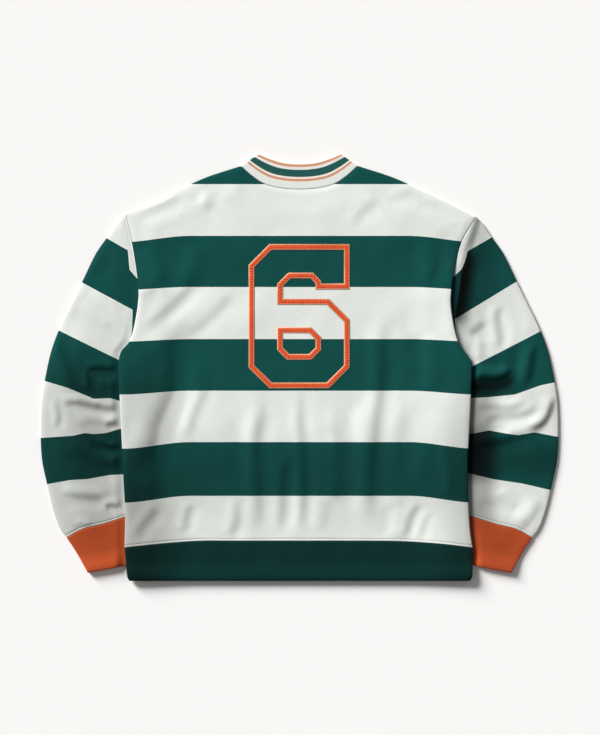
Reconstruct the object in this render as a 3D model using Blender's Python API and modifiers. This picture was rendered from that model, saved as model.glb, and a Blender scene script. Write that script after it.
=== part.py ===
"""Striped long-sleeve jersey shirt with a ribbed crew neck, laid flat, with its back facing up.

Plan sizes are in millimetres. +X runs to the right as the back is seen, +Y towards the neck and +Z up
from the surface that the shirt lies on. Y = 0 is at the middle of the chest.
"""
import bmesh
import bpy
import numpy as np
from mathutils import Vector
from mathutils.bvhtree import BVHTree

MM = 0.001

# Cloth walls and the gaps between pieces
JERSEY_WALL = 1.8
RIB_WALL = 2.0
SEAM_GAP = 0.35
ARMHOLE_GAP = 0.5
LAYER_GAP = 0.8
RIM_GAP = 0.4
RIM_ROUND = 0.9
PUFF = 1.0
PUFF_WIDTH = 30.0

# The torso's sides and the hem lie over the sleeves and the cuffs
SIDE_LIFT = 5.2
LIFT_START_X = 188.0
LIFT_END_X = 236.0
LIFT_TOP_Y = 198.0
LIFT_FULL_Y = 116.0
PRESS_WIDTH = 26.0

# Grid cells along each stretch of a panel's edge
SHOULDER_CELLS = 8
NECK_CELLS = 12
ARMHOLE_CELLS = 12
TUCKED_CELLS = 5
SIDE_CELLS = 14
SLEEVE_ROWS = 18
CUFF_ROWS = 3
HEM_ROWS = 2
NECK_ROWS = 2
RIM_CELLS = 10

# Outline of the torso, as points (x, y) along each stretch
LEFT_SIDE = [(-288, -297), (-287, -240), (-290, -178), (-293, -114), (-296, -50), (-297, -21), (-298, 10)]
LEFT_ARMHOLE = [(-298, 10), (-293, 27), (-279, 44), (-270, 78), (-265, 120), (-270, 170), (-277, 210),
                (-287, 253)]
RIGHT_SIDE = [(285, -297), (281, -270), (278, -222), (277, -160), (279, -114), (282, -50), (283, -21),
              (284, 7)]
RIGHT_ARMHOLE = [(284, 7), (276, 20), (261, 42), (252, 80), (249, 115), (254, 155), (267, 207),
                 (291, 248)]
LEFT_SHOULDER = [(-287, 253), (-235, 276), (-192, 296), (-151, 314), (-96.5, 331.7)]
RIGHT_SHOULDER = [(96.5, 331.7), (151, 314), (192, 296), (235, 276), (291, 248)]
NECK_SEAM = [(-96.5, 331.7), (-78, 316), (-57, 303.6), (-30, 297.5), (0, 296), (30, 297.5), (57, 303.6),
             (78, 316), (96.5, 331.7)]
NECK_EDGE = [(-66.8, 352), (-49, 345), (-26, 338.5), (0, 336.5), (26, 338.5), (49, 345), (66.8, 352)]
HEM_SEAM_LEFT = [(-288, -297), (-230, -291), (-164, -286.5), (-112, -286.4)]
HEM_SEAM_MIDDLE = [(-112, -286.4), (0, -286.3), (112, -286.4)]
HEM_SEAM_RIGHT = [(112, -286.4), (166, -287), (232, -291), (285, -297)]
HEM_EDGE = [(-281, -352), (0, -352), (282, -352)]
HEM_LEFT_END = [(-288, -297.4), (-288, -327), (-281, -352)]
HEM_RIGHT_END = [(285, -297.4), (285, -330), (282, -352)]

# The neckline of the front panel, which lies lower than the back's, and the front rib's free edge
FRONT_NECK = [(98.5, 331), (95, 300), (82, 268), (58, 239), (28, 224), (0, 220)]
FRONT_NECK_CELLS = 6
FRONT_NECK_EDGE = [(66.8, 352), (63, 320), (52, 292), (35, 270), (17, 261), (0, 258.5)]
NECK_CUT_TOP = 372.0
NECK_CUT_Z = (-10.0, 20.0)

# The lower part of each sleeve's armhole edge, tucked under the torso, with the start of its inner edge
TUCKED_ARMHOLE = {-1: [(-261, 75), (-254, 34)], 1: [(246, 70), (243, 34)]}
SLEEVE_INNER_START = {-1: [(-256, 0)], 1: [(249, 0)]}

# Outline of the left sleeve; the right one mirrors it but for its armhole and underarm
SLEEVE_OUTER = [(-287, 253), (-303, 236), (-316, 216), (-336, 187), (-356, 146), (-375, 107),
                (-394, 68), (-409, 28), (-418, -11), (-425, -51), (-427, -100), (-425, -150),
                (-417, -190), (-408, -229), (-397, -262), (-384, -281)]
SLEEVE_INNER_END = [(-262, -55), (-266, -112), (-263, -153), (-262, -194), (-265, -225), (-270, -243)]
CUFF_SEAM = [(-384, -281), (-356.7, -266.8), (-319.6, -257.4), (-288.4, -247.2), (-270, -243)]
CUFF_EDGE = [(-349, -338.5), (-315, -332.5), (-285, -326), (-252, -318)]
CUFF_OUTER = [(-384, -281), (-375, -294), (-365, -310), (-349, -338.5)]
CUFF_INNER = [(-270, -243), (-264, -262), (-258, -290), (-252, -318)]

# Largest folds of the upper layer: height, half width, then the line's points (x, y)
TORSO_FOLDS = [
    (-1.6, 24, [(-202, 22), (-210, -41), (-232, -87), (-248, -123), (-270, -165)]),
    (1.7, 26, [(-168, 40), (-178, -40), (-204, -95), (-220, -150)]),
    (1.4, 24, [(-238, -40), (-258, -100), (-272, -150)]),
    (-1.5, 22, [(-253, 66), (-224, 80), (-192, 110), (-177, 140)]),
    (1.6, 24, [(-247, 50), (-205, 70), (-165, 98), (-134, 124)]),
    (-1.5, 25, [(123, 43), (128, -60), (131, -170), (128, -275)]),
    (1.6, 27, [(160, 25), (164, -60), (160, -150), (156, -235)]),
    (1.1, 25, [(92, 10), (90, -100), (92, -250)]),
    (-1.2, 23, [(-63, -40), (-65, -160), (-60, -280)]),
    (1.0, 23, [(-90, -20), (-94, -150), (-88, -280)]),
    (-1.1, 24, [(134, 282), (116, 262), (100, 236)]),
]
LEFT_SLEEVE_FOLDS = [
    (-1.5, 20, [(-370, 79), (-387, 48), (-392, 20), (-377, -16), (-352, -36)]),
    (1.7, 21, [(-352, 0), (-326, -26), (-302, -40)]),
    (-1.7, 19, [(-390, -73), (-370, -60), (-345, -58), (-300, -68)]),
    (1.5, 20, [(-395, -98), (-350, -88), (-300, -96)]),
    (-1.6, 19, [(-394, -213), (-359, -213), (-331, -218), (-292, -231)]),
    (1.4, 20, [(-395, -182), (-350, -182), (-300, -192)]),
    (1.3, 20, [(-330, 150), (-345, 100), (-350, 60)]),
]
RIGHT_SLEEVE_FOLDS = [
    (1.7, 19, [(300, -62), (340, -58), (380, -64)]),
    (-1.7, 18, [(288, -20), (318, -18), (348, -24)]),
    (1.6, 20, [(366, 45), (365, 0), (341, -32)]),
    (-1.3, 18, [(328, 110), (333, 70), (331, 34)]),
    (1.3, 19, [(305, 110), (312, 60), (318, 30)]),
    (1.4, 20, [(392, -190), (374, -225), (352, -252)]),
    (-1.4, 19, [(302, -124), (340, -120), (362, -130)]),
]

# Numeral: a plain six drawn as two felt strips, with cut corners
NUMBER_CENTRE = (-0.5, 85.0)
NUMBER_WIDTH = 166.0
NUMBER_HEIGHT = 237.0
NUMBER_STROKE = 56.0
NUMBER_CORNER = 34.0
NUMBER_NECK_CORNER = 13.0
NUMBER_HOOK_CORNER = 8.0
NUMBER_COUNTER_CORNER = 16.0
NUMBER_BOWL_HEIGHT = 147.0
NUMBER_TIP = 18.0
STRIP_WIDTH = 9.0
STRIP_THICKNESS = 0.8
STRIP_CLEARANCE = 0.6
STRIP_STEP = 13.0

# Colours as linear red, green and blue
OFF_WHITE = (0.69, 0.72, 0.66)
DARK_GREEN = (0.004, 0.03, 0.023)
ORANGE = (0.55, 0.09, 0.025)
BRIGHT_ORANGE = (0.75, 0.10, 0.03)


def smooth(value):
    """A soft step from 0 to 1."""
    value = np.clip(value, 0.0, 1.0)
    return value * value * (3.0 - 2.0 * value)


def mirrored(points):
    return [(-x, y) for x, y in points]


def curve(points, cells, samples=24):
    """Even steps along a smooth curve through the points."""
    points = np.array(points, dtype=float)
    padded = np.vstack([2 * points[0] - points[1], points, 2 * points[-1] - points[-2]])
    fine = []
    for a, b, c, d in zip(padded, padded[1:], padded[2:], padded[3:]):
        for t in np.linspace(0.0, 1.0, samples, endpoint=False):
            fine.append(0.5 * (2 * b + (c - a) * t + (2 * a - 5 * b + 4 * c - d) * t ** 2
                               + (3 * b - a - 3 * c + d) * t ** 3))
    fine = np.array(fine + [points[-1]])
    along = np.concatenate([[0.0], np.cumsum(np.linalg.norm(np.diff(fine, axis=0), axis=1))])
    steps = np.linspace(0.0, along[-1], cells + 1)
    return np.column_stack([np.interp(steps, along, fine[:, 0]), np.interp(steps, along, fine[:, 1])])


def joined(*curves):
    return np.vstack([curves[0]] + [part[1:] for part in curves[1:]])


def fractions(line):
    steps = np.linalg.norm(np.diff(line, axis=0), axis=1)
    return np.concatenate([[0.0], np.cumsum(steps)]) / steps.sum()


def edge_patch(start, end, left, right):
    """A grid of points between four edge curves: rows run from start to end, columns left to right."""
    across = (0.5 * (fractions(start) + fractions(end)))[None, :, None]
    along = (0.5 * (fractions(left) + fractions(right)))[:, None, None]
    between_ends = (1 - along) * start[None] + along * end[None]
    between_sides = (1 - across) * left[:, None] + across * right[:, None]
    corners = ((1 - along) * ((1 - across) * start[0] + across * start[-1])
               + along * ((1 - across) * end[0] + across * end[-1]))
    return between_ends + between_sides - corners


def distance_to(points, line):
    """Distance from each point to a polyline, and how far along the line the nearest place is (0 to 1)."""
    line = np.asarray(line, dtype=float)
    ends = np.concatenate([[0.0], np.cumsum(np.linalg.norm(np.diff(line, axis=0), axis=1))])
    best = np.full(points.shape[:-1], 1e9)
    place = np.zeros(points.shape[:-1])
    for index in range(len(line) - 1):
        step = line[index + 1] - line[index]
        length = np.linalg.norm(step)
        t = np.clip(((points - line[index]) @ step) / length ** 2, 0.0, 1.0)
        gap = np.linalg.norm(points - (line[index] + t[..., None] * step), axis=-1)
        nearer = gap < best
        best = np.where(nearer, gap, best)
        place = np.where(nearer, (ends[index] + t * length) / ends[-1], place)
    return best, place


def fold_relief(points, folds):
    """Sum of soft ridges and troughs, each fading out at its two ends."""
    total = np.zeros(points.shape[:-1])
    for height, half_width, line in folds:
        gap, place = distance_to(points, curve(line, 12))
        hump = 0.5 + 0.5 * np.cos(np.pi * np.clip(gap / half_width, 0.0, 1.0))
        total += height * hump * smooth(4.0 * np.minimum(place, 1.0 - place))
    return total


def upper_relief(points, rim, folds):
    """Height of the upper layer above its flattest place, 0 along the rim."""
    fade = smooth(distance_to(points, rim)[0] / PUFF_WIDTH)
    hollow = (LAYER_GAP - RIM_GAP + PUFF) * fade
    return np.maximum(hollow + fold_relief(points, folds) * fade, (LAYER_GAP - RIM_GAP) * fade)


def torso_lift(points):
    """Rise of both torso layers where the torso's sides lie over the sleeves."""
    x, y = np.abs(points[..., 0]), points[..., 1]
    sideways = smooth((x - LIFT_START_X) / (LIFT_END_X - LIFT_START_X))
    return SIDE_LIFT * sideways * smooth((LIFT_TOP_Y - y) / (LIFT_TOP_Y - LIFT_FULL_Y))


def torso_edge_x(y, side):
    """The torso's edge beside the sleeve, at a height y."""
    edge = LEFT_SIDE + LEFT_ARMHOLE[1:] if side < 0 else RIGHT_SIDE + RIGHT_ARMHOLE[1:]
    edge = np.array(edge, dtype=float)
    return np.interp(y, edge[:, 1], edge[:, 0])


def sleeve_press(points, side):
    """0 where the torso lies on the sleeve, 1 well outside the torso's edge."""
    y = points[..., 1]
    outward = side * (points[..., 0] - torso_edge_x(y, side))
    pressed = smooth((outward - 3.0) / PRESS_WIDTH)
    return np.maximum(pressed, smooth((y - LIFT_FULL_Y) / (LIFT_TOP_Y - LIFT_FULL_Y)))


def offset_curve(line, amount):
    """Moves a curve sideways, to the right of its direction for a positive amount."""
    direction = np.gradient(line, axis=0)
    direction /= np.linalg.norm(direction, axis=1)[:, None]
    return line + amount * np.column_stack([direction[:, 1], -direction[:, 0]])


def add_object(name, bm, material):
    mesh = bpy.data.meshes.new(name)
    bmesh.ops.recalc_face_normals(bm, faces=bm.faces)
    bm.to_mesh(mesh)
    bm.free()
    mesh.shade_smooth()
    mesh.set_sharp_from_angle(angle=np.radians(40))
    mesh.materials.append(material)
    body = bpy.data.objects.new(name, mesh)
    collection.objects.link(body)
    return body


def cloth_material(name, colour):
    material = bpy.data.materials.new(name)
    material.use_nodes = True
    shader = material.node_tree.nodes["Principled BSDF"]
    shader.inputs["Base Color"].default_value = (*colour, 1.0)
    shader.inputs["Roughness"].default_value = 0.9
    shader.inputs["Metallic"].default_value = 0.0
    return material


def panel(name, grid, height, material):
    """A wall of jersey on a grid of plan points; height is its underside."""
    bm = bmesh.new()
    rows, columns = height.shape
    verts = [[bm.verts.new((*(grid[i, j] * MM), height[i, j] * MM)) for j in range(columns)]
             for i in range(rows)]
    for i in range(rows - 1):
        for j in range(columns - 1):
            bm.faces.new((verts[i][j], verts[i][j + 1], verts[i + 1][j + 1], verts[i + 1][j]))
    body = add_object(name, bm, material)
    if body.data.polygons[0].normal.z < 0:
        body.data.flip_normals()
    wall = body.modifiers.new("wall", "SOLIDIFY")
    wall.thickness = JERSEY_WALL * MM
    wall.offset = 1.0
    return body


def pulled_in(line, inset):
    """A line whose two end points are moved towards their neighbours."""
    line = line.copy()
    for end, neighbour in ((0, 1), (-1, -2)):
        way = line[neighbour] - line[end]
        line[end] += inset * way / np.linalg.norm(way)
    return line


def ring_loop(upper, lower, upper_z, lower_z, wall, inner):
    """One closed loop of a flattened tube: over the upper layer, round its end and back under."""
    depth = wall if inner else 0.0
    inset = wall + 0.6 if inner else RIM_ROUND
    ends = pulled_in(upper, depth)
    middle = 0.5 * (upper_z + lower_z[:len(upper_z)])
    over = np.column_stack([pulled_in(upper, inset), upper_z - depth])
    under = np.column_stack([pulled_in(lower, inset), lower_z + depth])
    return np.vstack([(*ends[0], middle[0]), over, (*ends[-1], middle[-1]), under[::-1]])


def tube(name, rows, wall, material):
    """A flattened tube of cloth through rows of (upper, lower, upper_z, lower_z), open at both ends."""
    bm = bmesh.new()
    layers = []
    for inner in (False, True):
        loops = [ring_loop(*row, wall, inner) for row in rows]
        layers.append([[bm.verts.new(point * MM) for point in loop] for loop in loops])
    outer, inner = layers
    count = len(outer[0])
    for k in range(count):
        n = (k + 1) % count
        for i in range(len(rows) - 1):
            bm.faces.new((outer[i][k], outer[i][n], outer[i + 1][n], outer[i + 1][k]))
            bm.faces.new((inner[i][k], inner[i + 1][k], inner[i + 1][n], inner[i][n]))
        bm.faces.new((outer[0][k], inner[0][k], inner[0][n], outer[0][n]))
        bm.faces.new((outer[-1][k], outer[-1][n], inner[-1][n], inner[-1][k]))
    return add_object(name, bm, material)


def torso_rim():
    """Outline of the torso with its hem, up to the neck seam, where the layers lie flattest."""
    stretches = [HEM_LEFT_END[::-1], LEFT_SIDE, LEFT_ARMHOLE, LEFT_SHOULDER, NECK_SEAM, RIGHT_SHOULDER,
                 RIGHT_ARMHOLE[::-1], RIGHT_SIDE[::-1], HEM_RIGHT_END, HEM_EDGE[::-1]]
    return joined(*[curve(points, RIM_CELLS) for points in stretches])


def torso_grid():
    start = joined(curve(HEM_SEAM_LEFT, SHOULDER_CELLS), curve(HEM_SEAM_MIDDLE, NECK_CELLS),
                   curve(HEM_SEAM_RIGHT, SHOULDER_CELLS))
    end = joined(curve(LEFT_SHOULDER, SHOULDER_CELLS), curve(NECK_SEAM, NECK_CELLS),
                 curve(RIGHT_SHOULDER, SHOULDER_CELLS))
    left = joined(curve(LEFT_SIDE, SIDE_CELLS), curve(LEFT_ARMHOLE, ARMHOLE_CELLS))
    right = joined(curve(RIGHT_SIDE, SIDE_CELLS), curve(RIGHT_ARMHOLE, ARMHOLE_CELLS))
    return edge_patch(start, end, left, right)


def front_neckline():
    half = curve(FRONT_NECK, FRONT_NECK_CELLS)
    return joined(half, half[::-1] * (-1, 1))


def make_torso():
    grid = torso_grid()
    lift = torso_lift(grid)
    upper = lift + JERSEY_WALL + RIM_GAP + upper_relief(grid, torso_rim(), TORSO_FOLDS)
    back = panel("back_panel", grid, upper, white)
    front = panel("front_panel", grid, lift, white)
    cut_neck(front)
    return grid, back


def cut_neck(front):
    """Cuts the front panel's neckline lower than the back's."""
    neckline = front_neckline()
    outline = [*neckline, (neckline[-1][0], NECK_CUT_TOP), (neckline[0][0], NECK_CUT_TOP)]
    bm = bmesh.new()
    face = bm.faces.new([bm.verts.new((x * MM, y * MM, NECK_CUT_Z[0] * MM)) for x, y in outline])
    raised = bmesh.ops.extrude_face_region(bm, geom=[face])["geom"]
    tops = [item for item in raised if isinstance(item, bmesh.types.BMVert)]
    bmesh.ops.translate(bm, verts=tops, vec=(0, 0, (NECK_CUT_Z[1] - NECK_CUT_Z[0]) * MM))
    cutter = add_object("neck_cutter", bm, white)
    collection.objects.unlink(cutter)
    cutters.objects.link(cutter)
    cutter.hide_render = True
    cutter.display_type = "WIRE"
    cut = front.modifiers.new("neckline", "BOOLEAN")
    cut.object = cutter
    cut.operation = "DIFFERENCE"


def make_sleeve(side, armhole, folds):
    """One sleeve and its cuff; side is -1 on the left of the view and 1 on the right."""
    turn = (lambda points: points) if side < 0 else mirrored
    name = "left" if side < 0 else "right"
    sewn = offset_curve(armhole[::-1], -side * ARMHOLE_GAP)[:ARMHOLE_CELLS + 1 - TUCKED_CELLS]
    tucked = curve([tuple(sewn[-1])] + TUCKED_ARMHOLE[side], TUCKED_CELLS)
    start = joined(sewn, tucked)
    outer = turn(SLEEVE_OUTER)
    outer_edge = curve([tuple(start[0])] + outer[1:], SLEEVE_ROWS)
    inner_points = [tuple(start[-1])] + SLEEVE_INNER_START[side] + turn(SLEEVE_INNER_END)
    inner_edge = curve(inner_points, SLEEVE_ROWS)
    end = curve(turn(CUFF_SEAM), ARMHOLE_CELLS)
    grid = edge_patch(start, end, outer_edge, inner_edge)
    cuff_rim = [curve(turn(points), CUFF_ROWS) for points in (CUFF_INNER, CUFF_EDGE[::-1], CUFF_OUTER[::-1])]
    rim = joined(start, inner_edge, *cuff_rim, outer_edge[::-1])
    relief = upper_relief(grid, rim, folds) * sleeve_press(grid, side)
    upper = 2 * JERSEY_WALL + RIM_GAP + relief
    flat = np.zeros(ARMHOLE_CELLS + 1)
    tube(f"sleeve_{name}", [(p, p, u, flat) for p, u in zip(grid, upper)], JERSEY_WALL, white)

    seam_shift = np.array([0.0, -SEAM_GAP])
    cuff_grid = edge_patch(end + seam_shift, curve(turn(CUFF_EDGE), ARMHOLE_CELLS) + seam_shift,
                           curve(turn(CUFF_OUTER), CUFF_ROWS) + seam_shift,
                           curve(turn(CUFF_INNER), CUFF_ROWS) + seam_shift)
    relief = upper_relief(cuff_grid, rim, []) * sleeve_press(cuff_grid, side)
    upper = 2 * RIB_WALL + RIM_GAP + relief
    tube(f"cuff_{name}", [(p, p, u, flat) for p, u in zip(cuff_grid, upper)], RIB_WALL, orange)


def make_hem(torso):
    seam = torso[0] + (0.0, -SEAM_GAP)
    left = curve(HEM_LEFT_END, HEM_ROWS)
    right = curve(HEM_RIGHT_END, HEM_ROWS)
    left[0], right[0] = seam[0], seam[-1]
    grid = edge_patch(seam, curve(HEM_EDGE, len(seam) - 1), left, right)
    lift = torso_lift(grid)
    relief = upper_relief(grid, torso_rim(), TORSO_FOLDS)
    upper = lift + 2 * RIB_WALL + RIM_GAP + relief
    tube("hem_rib", [(p, p, u, l) for p, u, l in zip(grid, upper, lift)], RIB_WALL, dark_green)


def make_neck():
    """The rib ring: its upper half shows above the back, its lower half lies under the back."""
    back_seam = curve(NECK_SEAM, NECK_CELLS)
    back_edge = curve(NECK_EDGE, NECK_CELLS)
    seam_up = offset_curve(back_seam, -SEAM_GAP)
    front_seam = offset_curve(front_neckline()[::-1], -ARMHOLE_GAP)
    front_seam = np.vstack([seam_up[0], front_seam[1:-1], seam_up[-1]])
    half_edge = curve(FRONT_NECK_EDGE, FRONT_NECK_CELLS)
    front_edge = joined(half_edge * (-1, 1), half_edge[::-1])
    front_edge[0], front_edge[-1] = back_edge[0], back_edge[-1]
    rows = []
    for part in np.linspace(0.0, 1.0, NECK_ROWS + 1):
        upper = (1 - part) * seam_up + part * back_edge
        lower = (1 - part) * front_seam + part * front_edge
        upper_z = np.full(len(upper), 2 * RIB_WALL + RIM_GAP)
        rows.append((upper, lower, upper_z, np.zeros(len(lower))))
    tube("neck_rib", rows, RIB_WALL, orange)


def chamfered(points, cuts):
    """Cuts each corner of an outline by its own amount; 0 leaves it square."""
    out = []
    points = np.array(points, dtype=float)
    for index, cut in enumerate(cuts):
        neighbours = (points[index - 1], points[(index + 1) % len(points)])
        for neighbour in neighbours if cut else neighbours[:1]:
            way = neighbour - points[index]
            out.append(points[index] + cut * way / np.linalg.norm(way))
    return np.array(out)


def numeral_outlines():
    """The outer outline and the inner counter of the six, both anticlockwise."""
    half_w, half_h = NUMBER_WIDTH / 2, NUMBER_HEIGHT / 2
    left, right, bottom, top = -half_w, half_w, -half_h, half_h
    bowl_top = bottom + NUMBER_BOWL_HEIGHT
    tip_bottom = top - NUMBER_STROKE - NUMBER_TIP
    stem = left + NUMBER_STROKE
    corner, small = NUMBER_CORNER, NUMBER_COUNTER_CORNER
    outer = chamfered(
        [(left, bottom), (right, bottom), (right, bowl_top), (stem, bowl_top),
         (stem, top - NUMBER_STROKE), (right - NUMBER_STROKE, top - NUMBER_STROKE),
         (right - NUMBER_STROKE, tip_bottom), (right, tip_bottom), (right, top), (left, top)],
        [corner, corner, corner, 0, NUMBER_NECK_CORNER, NUMBER_HOOK_CORNER, 0, 0, 0, corner])
    inset = NUMBER_STROKE - STRIP_WIDTH
    counter = chamfered([(left + inset, bottom + inset), (right - inset, bottom + inset),
                         (right - inset, bowl_top - inset), (left + inset, bowl_top - inset)],
                        [small, small, small, 0])
    return [outline + NUMBER_CENTRE for outline in (outer, counter)]


def inset_outline(points, amount):
    """Moves each side of an anticlockwise outline inwards by the same amount."""
    out = []
    count = len(points)
    for index in range(count):
        before = points[index] - points[index - 1]
        after = points[(index + 1) % count] - points[index]
        n1 = np.array([-before[1], before[0]]) / np.linalg.norm(before)
        n2 = np.array([-after[1], after[0]]) / np.linalg.norm(after)
        out.append(points[index] + amount * (n1 + n2) / (1.0 + n1 @ n2))
    return np.array(out)


def make_numeral(back):
    """Felt strips that follow the back panel's upper face."""
    depsgraph = bpy.context.evaluated_depsgraph_get()
    surface = BVHTree.FromObject(back, depsgraph)
    for name, outline in zip(("number_outline", "number_counter"), numeral_outlines()):
        inside = inset_outline(outline, STRIP_WIDTH)
        edges = ([], [])
        for index in range(len(outline)):
            following = (index + 1) % len(outline)
            cells = max(1, round(float(np.linalg.norm(outline[following] - outline[index])) / STRIP_STEP))
            for t in np.arange(cells) / cells:
                edges[0].append((1 - t) * outline[index] + t * outline[following])
                edges[1].append((1 - t) * inside[index] + t * inside[following])
        bm = bmesh.new()
        rings = []
        for lift, edge in ((0, edges[0]), (STRIP_THICKNESS, edges[0]), (STRIP_THICKNESS, edges[1]),
                           (0, edges[1])):
            ring = []
            for x, y in edge:
                hit = surface.ray_cast(Vector((x * MM, y * MM, 0.1)), Vector((0, 0, -1)))[0]
                ring.append(bm.verts.new((x * MM, y * MM, hit.z + (STRIP_CLEARANCE + lift) * MM)))
            rings.append(ring)
        for a, b in zip(rings, rings[1:] + rings[:1]):
            for k in range(len(a)):
                n = (k + 1) % len(a)
                bm.faces.new((a[k], a[n], b[n], b[k]))
        add_object(name, bm, bright_orange)


for item in list(bpy.data.objects):
    bpy.data.objects.remove(item, do_unlink=True)

collection = bpy.data.collections.new("long_sleeve_shirt")
cutters = bpy.data.collections.new("cutters")
bpy.context.scene.collection.children.link(collection)
bpy.context.scene.collection.children.link(cutters)

white = cloth_material("off_white_jersey", OFF_WHITE)
dark_green = cloth_material("dark_green_rib", DARK_GREEN)
orange = cloth_material("orange_rib", ORANGE)
bright_orange = cloth_material("orange_felt", BRIGHT_ORANGE)

torso, back_panel = make_torso()
left_armhole = torso[SIDE_CELLS:, 0]
right_armhole = torso[SIDE_CELLS:, -1]
make_sleeve(-1, left_armhole, LEFT_SLEEVE_FOLDS)
make_sleeve(1, right_armhole, RIGHT_SLEEVE_FOLDS)
make_hem(torso)
make_neck()
make_numeral(back_panel)
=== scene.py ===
"""Looks of a striped long-sleeve crew-neck shirt that lies flat on a pale table with its back up.

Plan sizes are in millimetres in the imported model's own frame: +X runs to the right as the back is
seen, +Y towards the neck and +Z up from the table.
"""

import bpy
import numpy as np
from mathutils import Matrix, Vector
from mathutils.bvhtree import BVHTree


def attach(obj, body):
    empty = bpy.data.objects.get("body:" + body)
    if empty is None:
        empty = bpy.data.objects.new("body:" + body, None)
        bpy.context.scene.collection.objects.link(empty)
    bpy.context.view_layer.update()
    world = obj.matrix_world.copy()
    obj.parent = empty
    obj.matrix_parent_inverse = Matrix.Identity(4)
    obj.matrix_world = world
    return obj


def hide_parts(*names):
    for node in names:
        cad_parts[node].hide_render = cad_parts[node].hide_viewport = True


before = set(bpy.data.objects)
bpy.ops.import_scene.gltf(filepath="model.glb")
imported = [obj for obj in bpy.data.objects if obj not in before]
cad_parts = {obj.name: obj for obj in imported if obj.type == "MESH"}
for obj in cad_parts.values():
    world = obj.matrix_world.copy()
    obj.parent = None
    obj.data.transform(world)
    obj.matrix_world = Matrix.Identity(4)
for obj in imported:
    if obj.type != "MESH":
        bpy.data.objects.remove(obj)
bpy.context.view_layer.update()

MM = 0.001

# Cloth walls and the gaps between pieces
JERSEY_WALL = 1.8
RIB_WALL = 2.0
SEAM_GAP = 0.35
ARMHOLE_GAP = 0.5
RIM_GAP = 0.4
LAYER_PUFF = 2.0
PUFF_WIDTH = 46.0
LOWEST_PUFF = 0.5
LOWEST_SOFTNESS = 0.8
FOLD_FADE = 9.0
UNDER_RELIEF = 0.55
RIM_RADIUS = 2.0
SEAM_RADIUS = 1.5
SEAM_DROP = 0.9
# The thinnest that a wall gets at a sewn edge, and how full the outer face stays at an edge
LEAST_WALL = 0.12
LEAST_FULLNESS = 0.08
# The inside of a flattened tube: its inset as a share of the wall, its edge's radius, its least depth
INNER_INSET = 0.9
INNER_RADIUS = 0.8
INNER_LEAST = 0.06
# Edges that turn by more than this many degrees stay sharp
SHARP_ANGLE = 60.0
# The seams at the neck and the left armhole turn down less
NECK_DROP = 0.15
LEFT_ARMHOLE_DROP = -0.3
SLEEVE_ARMHOLE_DROP = {-1: -0.6, 1: 1.0}

# The torso's sides and the hem lie over the sleeves and the cuffs
SIDE_LIFT = 7.0
LIFT_START_X = 172.0
LIFT_END_X = 278.0
LIFT_TOP_Y = 198.0
LIFT_FULL_Y = 116.0
PRESS_START = 0.5
PRESS_WIDTH = 15.0
# Towards the hem's lower edge the lift is lowered: share of it, y where that starts, over what length
LIFT_LOWERED = [(0.2, -290.0, 40.0), (0.45, -337.0, 15.0)]
# The folded side turns into the sewn armhole from this far below the lift's full height
SEWN_SIDE_BELOW = 10.0
SEWN_SIDE_FADE = 12.0
# The neck seam isn't rounded like a shoulder, so it counts as this far from one
FAR_OFF = 100.0

# Grid cells, and the closer lines beside a rolled edge, beside a seam and beside a stitched seam
TORSO_CELLS = (184, 184)
FRONT_CELLS = (140, 140)
SLEEVE_CELLS = (200, 58)
CUFF_CELLS = 22
HEM_CELLS = 8
NECK_CELLS = 14
# Steps along the curves that edges are taken from
EDGE_CELLS = 60
SLEEVE_EDGE_CELLS = 240
TUCKED_CELLS = 30
RIB_END_CELLS = 40
NECK_LINE_CELLS = 100
RIM_CELLS = 10
CUFF_RIM_CELLS = 8
ARMHOLE_RIM_POINTS = 14
SLEEVE_RIM_POINTS = 30
FOLD_CELLS = 14
ROLLED = (0.0, 0.2, 0.7, 1.4, 2.2)
SEWN = (0.0, 0.5, 1.2, 2.0)
STITCHED = (0.0, 0.5, 1.2, 2.0, 2.8, 3.4, 4.0, 4.8)
STITCH_LINE = 3.4
STITCH_GROOVE = 0.55
STITCH_GROOVE_WIDTH = 1.3

# Outline of the torso, as points (x, y) along each stretch
LEFT_SIDE = [(-288, -297), (-287, -240), (-290, -178), (-293, -114), (-296, -50), (-297, -21), (-298, 10)]
LEFT_ARMHOLE = [(-298, 10), (-293, 27), (-279, 44), (-270, 78), (-265, 120), (-270, 170), (-277, 210),
                (-287, 253)]
RIGHT_SIDE = [(285, -297), (281, -270), (278, -222), (277, -160), (279, -114), (282, -50), (283, -21),
              (284, 7)]
RIGHT_ARMHOLE = [(284, 7), (276, 20), (261, 42), (252, 80), (249, 115), (254, 155), (267, 207),
                 (291, 248)]
LEFT_SHOULDER = [(-287, 253), (-235, 276), (-192, 296), (-151, 314), (-96.5, 331.7)]
RIGHT_SHOULDER = [(96.5, 331.7), (151, 314), (192, 296), (235, 276), (291, 248)]
NECK_SEAM = [(-96.5, 331.7), (-78, 315), (-57, 301.6), (-30, 294.8), (0, 292.8), (30, 294.8), (57, 301.6),
             (78, 315), (96.5, 331.7)]
NECK_EDGE = [(-66.8, 352), (-49, 345), (-26, 338.5), (0, 336.5), (26, 338.5), (49, 345), (66.8, 352)]
HEM_SEAM_LEFT = [(-288, -297), (-230, -291), (-164, -286.5), (-112, -286.4)]
HEM_SEAM_MIDDLE = [(-112, -286.4), (0, -286.3), (112, -286.4)]
HEM_SEAM_RIGHT = [(112, -286.4), (166, -287), (232, -291), (285, -297)]
HEM_EDGE = [(-279, -352), (0, -352), (279.5, -352)]
HEM_LEFT_END = [(-288, -297.4), (-286, -322), (-284, -343), (-282.5, -350), (-279, -352)]
HEM_RIGHT_END = [(285, -297.4), (285, -325), (284.5, -344), (283, -350), (279.5, -352)]
FRONT_NECK = [(98.5, 331), (95, 300), (82, 268), (58, 239), (28, 224), (0, 220)]
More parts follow.
